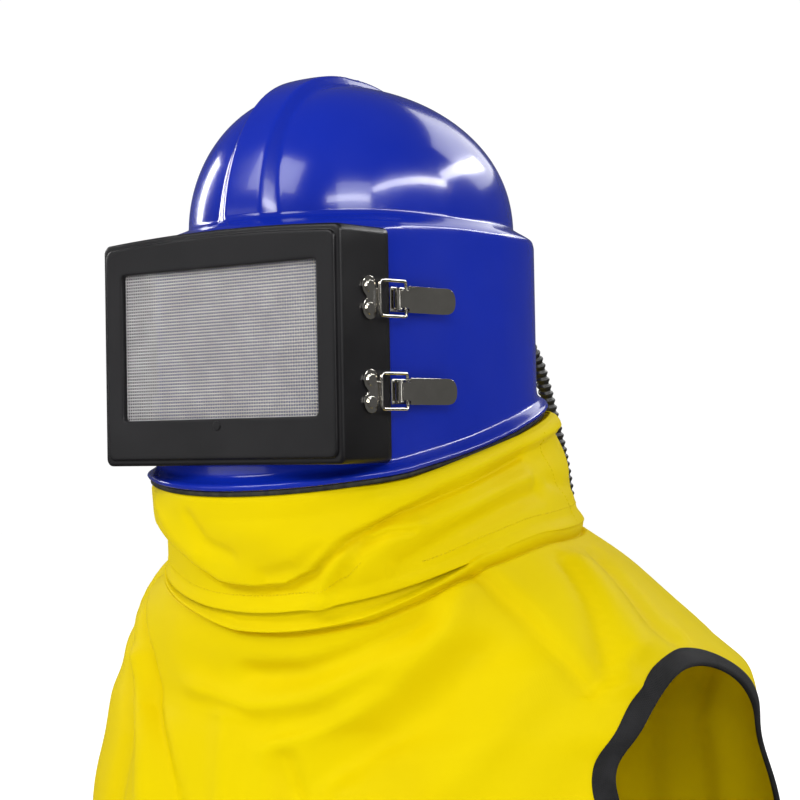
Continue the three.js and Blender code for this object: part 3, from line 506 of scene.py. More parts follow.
class Finish:
    """A material in the making: a Principled shader with grain, mottling and, on cloth, weave."""

    def __init__(self, name, roughness, metallic=0.0, specular=0.5, coat=0.0, coat_roughness=0.03):
        self.material = bpy.data.materials.new(name)
        self.material.use_nodes = True
        self.tree = self.material.node_tree
        self.shader = self.tree.nodes["Principled BSDF"]
        for socket, value in (("Roughness", roughness), ("Metallic", metallic),
                              ("Specular IOR Level", specular), ("Coat Weight", coat),
                              ("Coat Roughness", coat_roughness)):
            self.shader.inputs[socket].default_value = value
        self.places = self.tree.nodes.new("ShaderNodeTexCoord")
        self.height = None

    def link(self, a, b):
        self.tree.links.new(a, b)

    def effect(self, name, vector="Object", **values):
        made = self.tree.nodes.new("ShaderNodeGroup")
        made.node_tree = bpy.data.node_groups[name]
        self.link(self.places.outputs[vector], made.inputs["Vector"])
        for key, value in values.items():
            made.inputs[key.replace("_", " ")].default_value = value
        return made

    def mottle(self, colour, other, scale, low=0.35, high=0.65):
        made = self.effect("Mottle", Colour_A=(*colour, 1), Colour_B=(*other, 1),
                           Scale=scale, Low=low, High=high)
        self.link(made.outputs["Colour"], self.shader.inputs["Base Color"])

    def grain(self, scale, smoothest, roughest, strength, depth):
        made = self.effect("Grain", Scale=scale, Smooth=smoothest, Rough=roughest)
        self.link(made.outputs["Roughness"], self.shader.inputs["Roughness"])
        self.bump(made, strength, depth)

    def bump(self, made, strength, depth):
        """Adds the height of an effect to what stands on the surface already."""
        bump = self.tree.nodes.new("ShaderNodeBump")
        bump.inputs["Strength"].default_value = strength
        bump.inputs["Distance"].default_value = depth
        self.link(made.outputs["Height"], bump.inputs["Height"])
        if self.height is not None:
            self.link(self.height.outputs["Normal"], bump.inputs["Normal"])
        self.height = bump
        self.link(bump.outputs["Normal"], self.shader.inputs["Normal"])


def lighter(colour, share):
    return tuple(min(1, c * share) for c in colour)


def make_finishes(colours):
    for build in (mottle_effect, grain_effect, weave_effect):
        build()
    blue, black, steel, yellow, dark = (
        tuple(colour) for colour in (colours.shell, colours.frame, colours.steel, colours.cloth, colours.tape))
    rows = {
        # the shader; two colours with their scale and limits; the grain's scale, least and most roughness,
        # strength and depth
        "shell": (Finish("Glossy blue moulding", 0.16, specular=0.42, coat=0.25, coat_roughness=0.05),
                  (blue, lighter(blue, 1.18), 6), (420, 0.13, 0.23, 0.05, 0.0002)),
        "box": (Finish("Satin black moulding", 0.38, specular=0.3),
                (black, lighter(black, 1.7), 9), (1500, 0.30, 0.44, 0.16, 0.0003)),
        "trim": (Finish("Dark strip", 0.75, specular=0.3),
                 ((0.045, 0.043, 0.028), (0.018, 0.017, 0.012), 160), (1800, 0.65, 0.85, 0.3, 0.0004)),
        "screen": (Finish("Woven wire", 0.42, metallic=0.55),
                   ((0.80, 0.78, 0.79), (0.66, 0.64, 0.65), 60), (2600, 0.36, 0.5, 0.05, 0.0001)),
        "steel": (Finish("Bright plated steel", 0.16, metallic=1),
                  (steel, lighter(steel, 0.86), 60, 0.3, 0.75), (700, 0.08, 0.17, 0.02, 0.0001)),
        "pane": (Finish("Clear pane", 0.06),
                 ((0.93, 0.95, 0.96), (0.86, 0.88, 0.90), 20), (300, 0.04, 0.12, 0.02, 0.0001)),
        "cloth": (Finish("Coated yellow cloth", 0.6, specular=0.03),
                  (yellow, (yellow[0] * 0.95, yellow[1] * 0.92, 0.0), 7), (700, 0.48, 0.64, 0.10, 0.0004)),
        "thread": (Finish("Yellow thread", 0.7, specular=0.1),
                   (lighter(yellow, 1.05), lighter(yellow, 0.85), 300), (2000, 0.6, 0.8, 0.2, 0.0002)),
        "tape": (Finish("Woven black tape", 0.85, specular=0.25),
                 (dark, lighter(dark, 2.2), 45), (1300, 0.75, 0.92, 0.2, 0.0005)),
        "rubber": (Finish("Black rubber", 0.42, specular=0.4),
                   ((0.010, 0.010, 0.010), (0.022, 0.021, 0.020), 40), (1200, 0.34, 0.5, 0.12, 0.0003)),
    }
    for finish, blotches, grain in rows.values():
        finish.mottle(*blotches)
        finish.grain(*grain)
    shell, pane, cloth, tape = (rows[name][0] for name in ("shell", "pane", "cloth", "tape"))
    shell.bump(shell.effect("Grain", Scale=14, Smooth=0, Rough=1), 0.10, 0.004)
    pane.shader.inputs["Transmission Weight"].default_value = 0.85
    pane.shader.inputs["IOR"].default_value = 1.2
    cloth.bump(cloth.effect("Weave", "UV", Across=900.0, Down=900.0), 0.22, 0.0003)
    tape.bump(tape.effect("Weave", "UV", Across=700.0, Down=350.0), 0.6, 0.0005)
    return {name: row[0].material for name, row in rows.items()}


FINISHES = {}


# Camera, floor and lights

CAMERA_PLACE = (0.8564672, -1.0974862, -0.2646503)
CAMERA_AXES = ((0.8086581, 0.5880150, -0.0176225), (0.0274911, -0.0078496, 0.9995912),
               (0.5876363, -0.8088120, -0.0225129))
CAMERA_LENS, CAMERA_SENSOR = 83.32, 36.0
FLOOR_LEVEL, FLOOR_RADIUS, FLOOR_GLOW = -0.7345, 9, 0.5
# how bright the room is for light on the piece, in its reflections, and behind it in the picture
ROOM_LIGHT, ROOM_MIRRORED, ROOM_SEEN = 0.6, 0.10, 1.02

LIGHTS = (
    # name, place, what it points at, width, height, watts, seen in reflections alone
    ("Key", (-1.1, -2.3, 1.5), (0, 0, -0.25), 1.6, 1.1, 33, False),
    ("Fill", (2.2, -2.2, 1.0), (0.1, 0, -0.45), 1.8, 1.2, 34, False),
    ("Rear", (0.4, 2.4, 1.4), (0, 0, -0.3), 1.8, 1.2, 18, False),
    ("Front window", (1.80, -2.20, 0.85), (0, -0.05, -0.08), 2.1, 0.24, 24, True),
    ("Long window", (2.64, 0.37, 1.30), (0, 0, -0.08), 3.7, 0.24, 62, True),
    ("Rear window", (1.25, 2.33, 1.32), (0, 0, -0.08), 1.9, 0.26, 20, True),
    ("Far window", (-2.82, -0.10, 0.86), (0, -0.05, -0.08), 0.5, 1.1, 30, True),
    ("Strip", (2.3, -0.85, -0.1), (0.11, -0.08, -0.2), 0.07, 1.1, 1.6, True),
    ("Soft front", (-1.75, -2.40, -0.25), (0, -0.13, -0.25), 2.0, 1.6, 9, True),
)


class HOOD_OT_stage(bpy.types.Operator):
    """Adds the camera, the pale floor and the soft studio lights"""
    bl_idname = "hood.add_stage"
    bl_label = "Stage"

    def execute(self, context):
        scene = context.scene
        scene.view_settings.view_transform = "Standard"
        deselect()
        bpy.ops.object.camera_add(location=(0, 0, 0))
        camera = context.object
        camera.name = "camera"
        camera.data.lens = CAMERA_LENS
        camera.data.sensor_width = CAMERA_SENSOR
        camera.data.sensor_fit = "HORIZONTAL"
        camera.data.clip_end = 50
        turn = Matrix(CAMERA_AXES).transposed().to_4x4()
        camera.matrix_world = Matrix.Translation(CAMERA_PLACE) @ turn
        scene.camera = camera

        deselect()
        bpy.ops.mesh.primitive_circle_add(vertices=96, radius=FLOOR_RADIUS, fill_type="NGON",
                                          location=(0, 0, FLOOR_LEVEL))
        floor = context.object
        floor.name = "floor"
        pale = Finish("Pale floor", 0.8, specular=0.1)
        pale.mottle((0.93, 0.93, 0.93), (0.90, 0.90, 0.90), 2)
        pale.grain(60, 0.7, 0.9, 0.05, 0.0005)
        seen = pale.tree.nodes.new("ShaderNodeLightPath")
        glow = pale.tree.nodes.new("ShaderNodeMapRange")
        glow.inputs["To Max"].default_value = FLOOR_GLOW
        pale.link(seen.outputs["Is Camera Ray"], glow.inputs["Value"])
        pale.link(glow.outputs["Result"], pale.shader.inputs["Emission Strength"])
        pale.shader.inputs["Emission Color"].default_value = (1, 1, 1, 1)
        floor.data.materials.append(pale.material)
        floor.visible_glossy = False

        world = bpy.data.worlds.new("Studio")
        world.use_nodes = True
        scene.world = world
        tree = world.node_tree
        back = tree.nodes["Background"]
        back.inputs["Color"].default_value = (1, 1, 1, 1)
        path = tree.nodes.new("ShaderNodeLightPath")
        mirror = tree.nodes.new("ShaderNodeMapRange")
        mirror.inputs["To Min"].default_value = ROOM_LIGHT
        mirror.inputs["To Max"].default_value = ROOM_MIRRORED
        seen = tree.nodes.new("ShaderNodeMix")
        seen.inputs[3].default_value = ROOM_SEEN
        tree.links.new(path.outputs["Is Glossy Ray"], mirror.inputs["Value"])
        tree.links.new(path.outputs["Is Camera Ray"], seen.inputs[0])
        tree.links.new(mirror.outputs["Result"], seen.inputs[2])
        tree.links.new(seen.outputs[0], back.inputs["Strength"])

        for name, place, target, width, height, watts, mirrored in LIGHTS:
            deselect()
            bpy.ops.object.light_add(type="AREA", location=place)
            light = context.object
            light.name = name.lower().replace(" ", "_") + "_light"
            light.visible_diffuse = not mirrored
            light.data.shape = "RECTANGLE"
            light.data.size = width
            light.data.size_y = height
            light.data.energy = watts
            aim = Vector(target) - Vector(place)
            light.rotation_euler = aim.to_track_quat("-Z", "Y").to_euler()
        return {"FINISHED"}


# Hose

HOSE_DIAMETER, HOSE_REACH, HOSE_DROP = 12.4, 265, 690
HOSE_SIDES, HOSE_STEPS, HOSE_POINTS, CURVE_STEPS = 20, 900, 60, 40
RIB_SHAPE, RIB_FADE, FITTING_ROUND = 0.8, 8, 0.8
INLET_SEAT, INLET_TIP, INLET_LENGTH, INLET_STRAIGHT = (45, 148, -150), radians(35), 15, 14
HOSE_ROWS = (
    (1, 0.7925, 0.2841), (1, 0.8491, 0.3217), (1, 0.8943, 0.3594), (1, 0.9321, 0.3942), (1, 0.966, 0.4348),
    (1, 0.9887, 0.4855), (1, 1, 0.558), (0.9333, 1, 0.6377), (0.8667, 0.9962, 0.7101), (0.8, 0.9925, 0.7826),
    (0.7556, 0.9887, 0.8551), (0.7333, 0.9887, 0.9275), (0.7333, 0.9887, 1),
)


def along_inlet(distance):
    return np.array(INLET_SEAT, float) + distance * np.array([0, cos(INLET_TIP), -sin(INLET_TIP)])


def hose_route(steps):
    """The hose's route as evenly spaced points on one smooth curve, in millimetres."""
    knots = [along_inlet(INLET_LENGTH + 0.3), along_inlet(INLET_LENGTH + INLET_STRAIGHT)]
    knots += [np.array([INLET_SEAT[0] * a, HOSE_REACH * b, -HOSE_DROP * d]) for a, b, d in HOSE_ROWS]
    knots = np.array([2 * knots[0] - knots[1], *knots, 2 * knots[-1] - knots[-2]])
    points = []
    for k in range(1, len(knots) - 2):
        p = knots[k - 1:k + 3]
        d = [max(np.linalg.norm(p[j + 1] - p[j]) ** 0.5, 1e-6) for j in range(3)]
        from_slope = (p[1] - p[0]) / d[0] - (p[2] - p[0]) / (d[0] + d[1]) + (p[2] - p[1]) / d[1]
        to_slope = (p[2] - p[1]) / d[1] - (p[3] - p[1]) / (d[1] + d[2]) + (p[3] - p[2]) / d[2]
        for t in np.linspace(0, 1, CURVE_STEPS, endpoint=False):
            points.append(curved(t, p[1], p[2], d[1], from_slope, to_slope))
    points.append(knots[-2])
    points = np.array(points)
    travelled = np.concatenate([[0], np.cumsum(np.linalg.norm(np.diff(points, axis=0), axis=1))])
    even = np.linspace(0, travelled[-1], steps + 1)
    return np.stack([np.interp(even, travelled, points[:, axis]) for axis in range(3)], 1), travelled[-1]


class HOOD_OT_hose(bpy.types.Operator):
    """Adds the ribbed hose, its inlet gland and its end fitting"""
    bl_idname = "hood.add_hose"
    bl_label = "Hose"

    def execute(self, context):
        sizes = context.scene.hood_sizes
        route, length = hose_route(HOSE_STEPS)
        tangent = np.gradient(route, axis=0)
        tangent /= np.linalg.norm(tangent, axis=1, keepdims=True)
        across = np.cross(tangent, [1.0, 0.0, 0.0])
        across /= np.linalg.norm(across, axis=1, keepdims=True)
        other = np.cross(tangent, across)
        turn = 2 * pi * np.arange(HOSE_SIDES) / HOSE_SIDES
        travelled = np.linspace(0, length, len(route))
        phase = 2 * pi * travelled[:, None] / (sizes.rib_pitch / MM) + turn[None, :]
        rib = (0.5 + 0.5 * np.cos(phase)) ** RIB_SHAPE
        fade = smooth(0, RIB_FADE, travelled) * smooth(0, RIB_FADE, length - travelled)
        reach = HOSE_DIAMETER / 2 - sizes.rib_height / MM * (1 - rib * fade[:, None])
        rings = route[:, None, :] + reach[..., None] * (np.cos(turn)[None, :, None] * across[:, None, :]
                                                        + np.sin(turn)[None, :, None] * other[:, None, :])
        start, end = (np.repeat(place[None, None], HOSE_SIDES, 1) for place in (route[0], route[-1]))
        hose = from_rings("air_hose", np.concatenate([start, rings, end]))
        carried(hose, "helmet", "hose", FINISHES["rubber"], "hose")
        fitting = copy_of("hose_coupling", "hose_fitting", FITTING_ROUND * MM)
        carried(fitting, "helmet", "fittings", FINISHES["steel"], "hose_coupling")
        gland = copy_of("hose_inlet", "hose_gland", FITTING_ROUND * MM)
        carried(gland, "helmet", "inlet", FINISHES["rubber"], "hose_inlet")
        path = [tuple(p * MM) for p in hose_route(HOSE_POINTS)[0]]
        return {"FINISHED"}


# Shell

SHOULDER_ROWS = ((0, 0.1, -0.1), (0.25, 0.3, 0.06), (0.6, 0.7, 0.36), (0.82, 0.92, 0.6), (1, 1, 1))
LIP_ROWS = ((0, 1, 0), (0.3, 0.62, 0.13), (0.5, 0.42, 0.5), (0.68, 0.3, 0.86), (0.84, 0.16, 1), (1, 0, 0.84))
DOME_STEPS, SHOULDER_STEPS, WALL_STEPS, LIP_STEPS = 78, 15, 12, 20


def crest_lift(ring, up):
    """How far the crest stands off the dome; its flanks spread out towards the brim."""
    foot = CREST_FOOT_HALF + CREST_FILLET * (1 - up) ** 2
    return CREST_HEIGHT * (1 - smooth(CREST_TOP_HALF, foot, np.abs(ring[:, 0])))


def dome_rings(steps):
    rings = []
    for k in range(steps):
        angle = pi / 2 * (1 - k / steps)
        up, wide = sin(angle) ** (2 / DOME_ROUNDNESS), max(cos(angle), 0) ** (2 / DOME_ROUNDNESS)
        centre = DOME_BACK - CROWN_LEAN * up ** 3
        half_width, half_length = max(DOME_HALF_WIDTH * wide, 1e-3), max(DOME_HALF_LENGTH * wide, 1e-3)
        ring = at_height(oval(half_width, half_length - centre, half_length + centre, DOME_SQUARENESS),
                         DOME_BASE + (DOME_TOP - DOME_BASE) * up)
        if k == 0:
            ring = np.repeat(ring.mean(0, keepdims=True), len(ring), 0)
        lift = crest_lift(ring, up)
        ring[:, 1] = centre + (ring[:, 1] - centre) * (1 + lift / DOME_HALF_LENGTH)
        ring[:, 2] = DOME_BASE + (ring[:, 2] - DOME_BASE) * (1 + lift / (DOME_TOP - DOME_BASE))
        rings.append(ring)
    return rings


def crest_at_foot():
    """How far the crest carries the dome's foot forwards, for the brim to start from."""
    foot = oval(DOME_HALF_WIDTH, DOME_HALF_LENGTH - DOME_BACK, DOME_HALF_LENGTH + DOME_BACK, DOME_SQUARENESS)
    lift = crest_lift(foot, 0)
    foot[:, 1] = DOME_BACK + (foot[:, 1] - DOME_BACK) * (1 + lift / DOME_HALF_LENGTH)
    return foot


def shell_rings():
    rings = dome_rings(DOME_STEPS)
    foot = crest_at_foot()
    for share in np.linspace(0, 1, SHOULDER_STEPS):
        out, down = read(SHOULDER_ROWS, 1, share), read(SHOULDER_ROWS, 2, share)
        rings.append(at_height(foot * (1 - out) + BODY * out, DOME_BASE - SHOULDER_DROP * down))
    lip_top = RIM + LIP_HEIGHT
    front_length = SHOULDER_BASE - (RIM_FRONT + LIP_HEIGHT)
    top_share = (SHOULDER_BASE - HOLE_TOP) / front_length
    bottom_share = (SHOULDER_BASE - HOLE_BOTTOM) / front_length
    shares = [0.04, top_share, *np.linspace(top_share, bottom_share, WALL_STEPS)[1:], 0.9, 1]
    facing = (BODY[:, 1] < 0) & (np.abs(BODY[:, 0]) < HOLE_HALF + 0.5)
    for share in shares:
        z = SHOULDER_BASE * (1 - share) + lip_top * share
        for edge_share, edge in ((top_share, HOLE_TOP), (bottom_share, HOLE_BOTTOM)):
            if abs(share - edge_share) < 1e-6:
                z = np.where(facing, edge, z)
        rings.append(at_height(BODY, z))
    for share in np.linspace(0, 1, LIP_STEPS)[1:]:
        up, out = read(LIP_ROWS, 1, share), read(LIP_ROWS, 2, share)
        rings.append(at_height(offset(BODY, LIP_REACH * out), RIM + LIP_HEIGHT * up))
    return rings


class HOOD_OT_shell(bpy.types.Operator):
    """Adds the helmet shell with its crest and rim, and the strip under the rim"""
    bl_idname = "hood.add_shell"
    bl_label = "Shell"

    def execute(self, context):
        shell = from_rings("helmet_shell", shell_rings(), centre=(0, 15, -150))
        cut_faces(shell, lambda c: (abs(c.x) < HOLE_HALF * MM and c.y < -50 * MM
                                    and HOLE_BOTTOM * MM < c.z < HOLE_TOP * MM))
        deselect_points(shell)
        thicken(shell, SHELL_WALL * MM)
        carried(shell, "helmet", "shell", FINISHES["shell"], "shell")
        # the strip's section: how far out from the cloth's seat, and how far under the rim
        section = ((0, 0.2), (0.5, 1), (0.5, 2.4), (0, 3.8), (-3, 3.8), (-3, 0.2))
        strip = [at_height(offset(BODY, CLOTH_SEAT + out), RIM - under) for out, under in section]
        piping = from_rings("rim_strip", strip, closed=True)
        carried(piping, "helmet", "trim", FINISHES["trim"], "rim_piping")
        return {"FINISHED"}

# Window

def box_outline(half, top, bottom, round_corner, arch=0.0):
    """A rounded rectangle seen from the front, with an arched top, as points (x, z)."""
    corners = ((half, bottom, -90), (half, top, 0), (-half, top, 90), (-half, bottom, 180))
    spans = (16, 20, 16, 20)

    def on_corner(corner, angle):
        x, z, start = corner
        return (x - round_corner * np.sign(x) + round_corner * cos(radians(start + angle)),
                z + round_corner * (1 if z == bottom else -1) + round_corner * sin(radians(start + angle)))

    points = []
    for k, corner in enumerate(corners):
        points += [on_corner(corner, 15 * step) for step in range(7)]
        end, begin = points[-1], on_corner(corners[(k + 1) % 4], 0)
        for step in range(1, spans[k]):
            share = step / spans[k]
            points.append((end[0] * (1 - share) + begin[0] * share, end[1] * (1 - share) + begin[1] * share))
    points = np.array(points)
    middle = (top + bottom) / 2
    lift = arch * (1 - (points[:, 0] / half) ** 2) * (points[:, 1] > middle)
    lift *= np.clip((points[:, 1] - middle) / (top - middle), 0, 1)
    points[:, 1] += lift
    return points


def box_ring(half, top, bottom, round_corner, y, arch=0.0, seated=False):
    """A ring of the window box; a seated one stays in front of the shell's curved face."""
    flat = box_outline(half, top, bottom, round_corner, arch)
    depth = np.full(len(flat), float(y))
    if seated:
        shell_front = FRONT_RADIUS - np.sqrt(np.maximum(FRONT_RADIUS ** 2 - flat[:, 0] ** 2, 0)) - FRONT_REACH
        depth = np.minimum(depth, shell_front - 0.8)
    return np.stack([flat[:, 0], depth, flat[:, 1]], 1)


BORDER_ROWS = (
    # out from the box's side, back from its front, round of the corner
    (-7.5, 0, 4.5), (-5.4, 0, 5), (-4.7, 0.25, 5.2), (-4.3, 0.9, 5.2), (-4.2, 1.8, 5.2), (-3.6, 2.0, 5.2),
    (-2.6, 2.0, 5.2), (-1.4, 2.2, 5), (-0.6, 2.7, 5), (-0.15, 3.5, 5), (0, 4.6, 5),
)


def window_box_rings():
    """The box from its opening over its step border and sides to its hollow back."""
    def outer(side, y, round_corner, seated=False):
        return box_ring(FRAME_HALF + side, FRAME_TOP + min(side, 0), FRAME_BOTTOM - min(side, 0),
                        round_corner, y, FRAME_ARCH, seated)

    def opening(grow, y):
        return box_ring(OPENING_HALF + grow, OPENING_TOP + grow, OPENING_BOTTOM - grow, 3 + grow, y)

    def inner(side, inset, y, seated=False):
        return box_ring(FRAME_HALF + side, FRAME_TOP - inset, FRAME_BOTTOM + inset, 3, y, FRAME_ARCH, seated)

    rings = [opening(0, FACE_BACK), opening(0, FACE_BACK + 0.01 - 1.5), opening(0, FRAME_FRONT + 0.9),
             opening(0.3, FRAME_FRONT + 0.3), opening(0.9, FRAME_FRONT), opening(3, FRAME_FRONT)]
    rings += [outer(side, FRAME_FRONT + back, corner) for side, back, corner in BORDER_ROWS]
    for share in (0.25, 0.5, 0.75, 0.9):
        rings.append(outer(FRAME_TAPER * share, FRAME_FRONT + (FRAME_BACK - FRAME_FRONT) * share, 5, True))
    rings += [outer(FRAME_TAPER, FRAME_BACK - 0.6, 5, True), outer(FRAME_TAPER - 0.5, FRAME_BACK, 5, True),
              outer(FRAME_TAPER - 2.6, FRAME_BACK, 4, True)]
    return rings + [inner(FRAME_TAPER - 3, 3, FRAME_BACK - 0.6, True), inner(-2.2, 3, -118, True),
                    inner(-3, 3, FACE_BACK + 0.4), inner(-4, 4, FACE_BACK)]


SCREEN_MARGIN, SCREEN_DEPTH, SCREEN_CRIMP = 6.5, -130.1, 0.48


def woven_screen(pitch, thickness):
    """One mesh of crimped wires, over and under each other, with closed ends."""
    half, low, high = OPENING_HALF + SCREEN_MARGIN, OPENING_BOTTOM - SCREEN_MARGIN, OPENING_TOP + SCREEN_MARGIN
    columns = np.arange(-half, half + 1e-6, pitch)
    levels = np.arange(low, high + 1e-6, pitch)
    crimp = thickness * SCREEN_CRIMP
    section = np.array([(1, 0), (0, 1), (-1, 0), (0, -1)]) * thickness / 2
    points, faces = [], []

    def wire(centres, side_axis):
        first = len(points)
        for centre in centres:
            for a, b in section:
                place = np.array(centre, float)
                place[side_axis] += a
                place[1] += b
                points.append(place)
        count = len(section)
        for k in range(len(centres) - 1):
            for j in range(count):
                a, b = first + k * count + j, first + k * count + (j + 1) % count
                faces.append((a, b, b + count, a + count))
        faces.append(tuple(first + j for j in range(count))[::-1])
        faces.append(tuple(first + (len(centres) - 1) * count + j for j in range(count)))

    for i, x in enumerate(columns):
        wire([(x, SCREEN_DEPTH + crimp * (1 if (i + k) % 2 else -1), z) for k, z in enumerate(levels)], 0)
    for k, z in enumerate(levels):
        wire([(x, SCREEN_DEPTH - crimp * (1 if (i + k) % 2 else -1), z) for i, x in enumerate(columns)], 2)
    return from_faces("window_screen", points, faces)


class HOOD_OT_window(bpy.types.Operator):
    """Adds the window box with its small round mark, the woven screen and the clear pane's finish"""
    bl_idname = "hood.add_window"
    bl_label = "Window"

    def execute(self, context):
        sizes = context.scene.hood_sizes
        box = from_rings("window_box", window_box_rings(), closed=True)
        carried(box, "window", "frame", FINISHES["box"], "window_frame")
        smooth_to(box, SHOWN_ANGLE)
        deselect()
        bpy.ops.mesh.primitive_cylinder_add(vertices=40, radius=MARK_RADIUS * MM, depth=MARK_DEPTH * MM,
                                            location=Vector(MARK_PLACE) * MM, rotation=(pi / 2, 0, 0))
        mark = context.object
        mark.name = "moulding_mark"
        mark.data.name = mark.name
        bpy.ops.object.transform_apply(location=True, rotation=True, scale=True)
        rounded_edges(mark, MARK_ROUND * MM, 3)
        smooth_to(mark, SHOWN_ANGLE)
        carried(mark, "window", "frame", FINISHES["box"])
        screen = woven_screen(sizes.wire_pitch / MM, sizes.wire_thickness / MM)
        carried(screen, "window", "screen", FINISHES["screen"], "window_mesh")
        pane = frame["nodes"]["window_lens"]
        pane.data.materials.clear()
        pane.data.materials.append(FINISHES["pane"])
        return {"FINISHED"}


# Latches and hinges

WIRE, BAIL_BACK, BAIL_LENGTH, BAIL_HEIGHT, BAIL_LIFT, BAIL_INNER = 2.4, 5, 26, 26.6, 7.9, 6.4


def latch_place(z):
    return (Matrix.Translation(Vector((*LATCH_ORIGIN, z)) * MM)
            @ Matrix.Rotation(radians(LATCH_TURN), 4, "Z") @ Matrix.Scale(MM, 4))


def bail_points():
    """The bent wire of a latch, as points in the latch's own frame."""
    side, front = (BAIL_HEIGHT - WIRE) / 2, BAIL_BACK - BAIL_LENGTH
    corners = [(BAIL_BACK, BAIL_INNER, 0), (BAIL_BACK, side, 1.9), (front, side, 3.2), (front, -side, 3.2),
               (BAIL_BACK, -side, 1.9), (BAIL_BACK, -BAIL_INNER, 0)]
    points = []
    for k, (y, z, bend) in enumerate(corners):
        here = np.array([y, z], float)
        if not bend:
            points.append(here)
            continue
        before = np.array(corners[k - 1][:2], float) - here
        after = np.array(corners[k + 1][:2], float) - here
        start = here + before / np.linalg.norm(before) * bend
        stop = here + after / np.linalg.norm(after) * bend
        for t in np.linspace(0, 1, 9):
            points.append((1 - t) ** 2 * start + 2 * t * (1 - t) * here + t * t * stop)
    return [(BAIL_LIFT, p[0], p[1]) for p in points]


def wire_piece(name, points, radius, place):
    """A bent wire through points given in the frame that place turns into the hood's."""
    deselect()
    curve = bpy.data.curves.new(name, "CURVE")
    curve.dimensions = "3D"
    spline = curve.splines.new("POLY")
    spline.points.add(len(points) - 1)
    for knot, point in zip(spline.points, points):
        knot.co = (*point, 1)
    curve.bevel_depth = radius
    curve.bevel_resolution = 5
    curve.use_fill_caps = True
    piece = bpy.data.objects.new(name, curve)
    bpy.context.scene.collection.objects.link(piece)
    choose(piece)
    bpy.ops.object.convert(target="MESH")
    piece = bpy.context.object
    piece.data.transform(place)
    edit(piece, merge_doubles, face_outwards)
    return smooth_to(piece, SHOWN_ANGLE)


def steel_fittings(level, kinds, angle=EDGE_ANGLE):
    """Rounded copies of the fittings at one level, each on its body."""
    for kind, body in kinds:
        node_name = f"{kind}_{level}"
        piece = copy_of(node_name, f"{node_name}_steel", bpy.context.scene.hood_sizes.edge_round, angle)
        carried(piece, body, "fittings", FINISHES["steel"], node_name)


class HOOD_OT_latches(bpy.types.Operator):
    """Adds the two latches: keepers, brackets, levers and bent wires"""
    bl_idname = "hood.add_latches"
    bl_label = "Latches"

    def execute(self, context):
        for level, z in LATCH_LEVELS:
            steel_fittings(level, (("keeper", "window"), ("latch_base", "helmet"),
                                   ("latch_lever", f"lever_{level}")), CRISP_ANGLE)
            bail = wire_piece(f"latch_wire_{level}", bail_points(), WIRE / 2, latch_place(z))
            carried(bail, f"bail_{level}", "fittings", FINISHES["steel"], f"latch_bail_{level}")
        return {"FINISHED"}


class HOOD_OT_hinges(bpy.types.Operator):
    """Adds the two hinges on the far side"""
    bl_idname = "hood.add_hinges"
    bl_label = "Hinges"

    def execute(self, context):
        for level in ("upper", "lower"):
            steel_fittings(level, (("hinge_frame_leaf", "window"), ("hinge_shell_leaf", "helmet")))
        return {"FINISHED"}


# Cloth

CAPE_ROWS = (
    # at, wide, front, back, aside, side, fore, aft
    (0, 0.535, 1.05, 0.786, 0, 0, 0.14, -0.035),
    (0.1, 0.6, 0.99, 0.82, -0.2, 0.03, 0.172, -0.014),
    (0.2, 0.687, 0.95, 0.87, -0.1, 0.085, 0.216, 0.03),
    (0.3, 0.764, 0.89, 0.92, 0.05, 0.145, 0.265, 0.09),
    (0.4, 0.831, 0.84, 0.97, 0.4, 0.21, 0.315, 0.153),
    (0.5, 0.884, 0.82, 1, 0.9, 0.27, 0.365, 0.222),
    (0.6, 0.912, 0.87, 0.985, 1, 0.33, 0.413, 0.293),
    (0.7, 0.925, 0.93, 0.97, 1, 0.415, 0.485, 0.383),
    (0.8, 0.97, 0.97, 0.985, 1, 0.545, 0.605, 0.526),
    (0.9, 0.986, 0.99, 0.99, 1, 0.75, 0.78, 0.74),
    (1, 1, 1, 1, 1, 1, 1, 1),
)
CAPE_FOLDS = (
    # angle, drift, spread, from, to, depth
    (-30, -20, 9, 0.08, 1, 0.03), (8, 30, 10, 0.12, 0.9, 0.025), (52, -30, 8, 0.05, 0.8, 0.03),
    (-70, 10, 12, 0.3, 1.1, 0.02), (130, 20, 12, 0.1, 1.1, 0.02), (180, 0, 14, 0.2, 1.1, -0.03),
    (228, -20, 12, 0.1, 1.1, 0.03),
)
COLLAR_ROWS = ((0, 0), (0.12, 0.3), (0.3, 0.55), (0.5, 0.5), (0.75, 0.25), (1, 0))
COLLAR_FOLDS = (
    (10, 40, 14, 0.2, 1, 0.04), (70, -30, 16, 0, 0.9, 0.04), (-50, 20, 16, 0.1, 1, -0.03),
    (130, 20, 18, 0, 0.8, 0.03), (200, 0, 20, 0.1, 1, 0.03),
)


def wrapped(angle):
    return (np.asarray(angle) + 540) % 360 - 180


def fold_at(folds, heading, share):
    """How far the folds that run down a cloth move it out, as a share of its reach."""
    total = np.zeros_like(heading)
    for angle, drift, spread, start, stop, depth in folds:
        away = wrapped(heading - angle - drift * (share - start))
        span = (share - start) / (stop - start)
        if 0 < span < 1:
            total = total + depth * np.exp(-(away / spread) ** 2) * sin(span * pi)
    return total


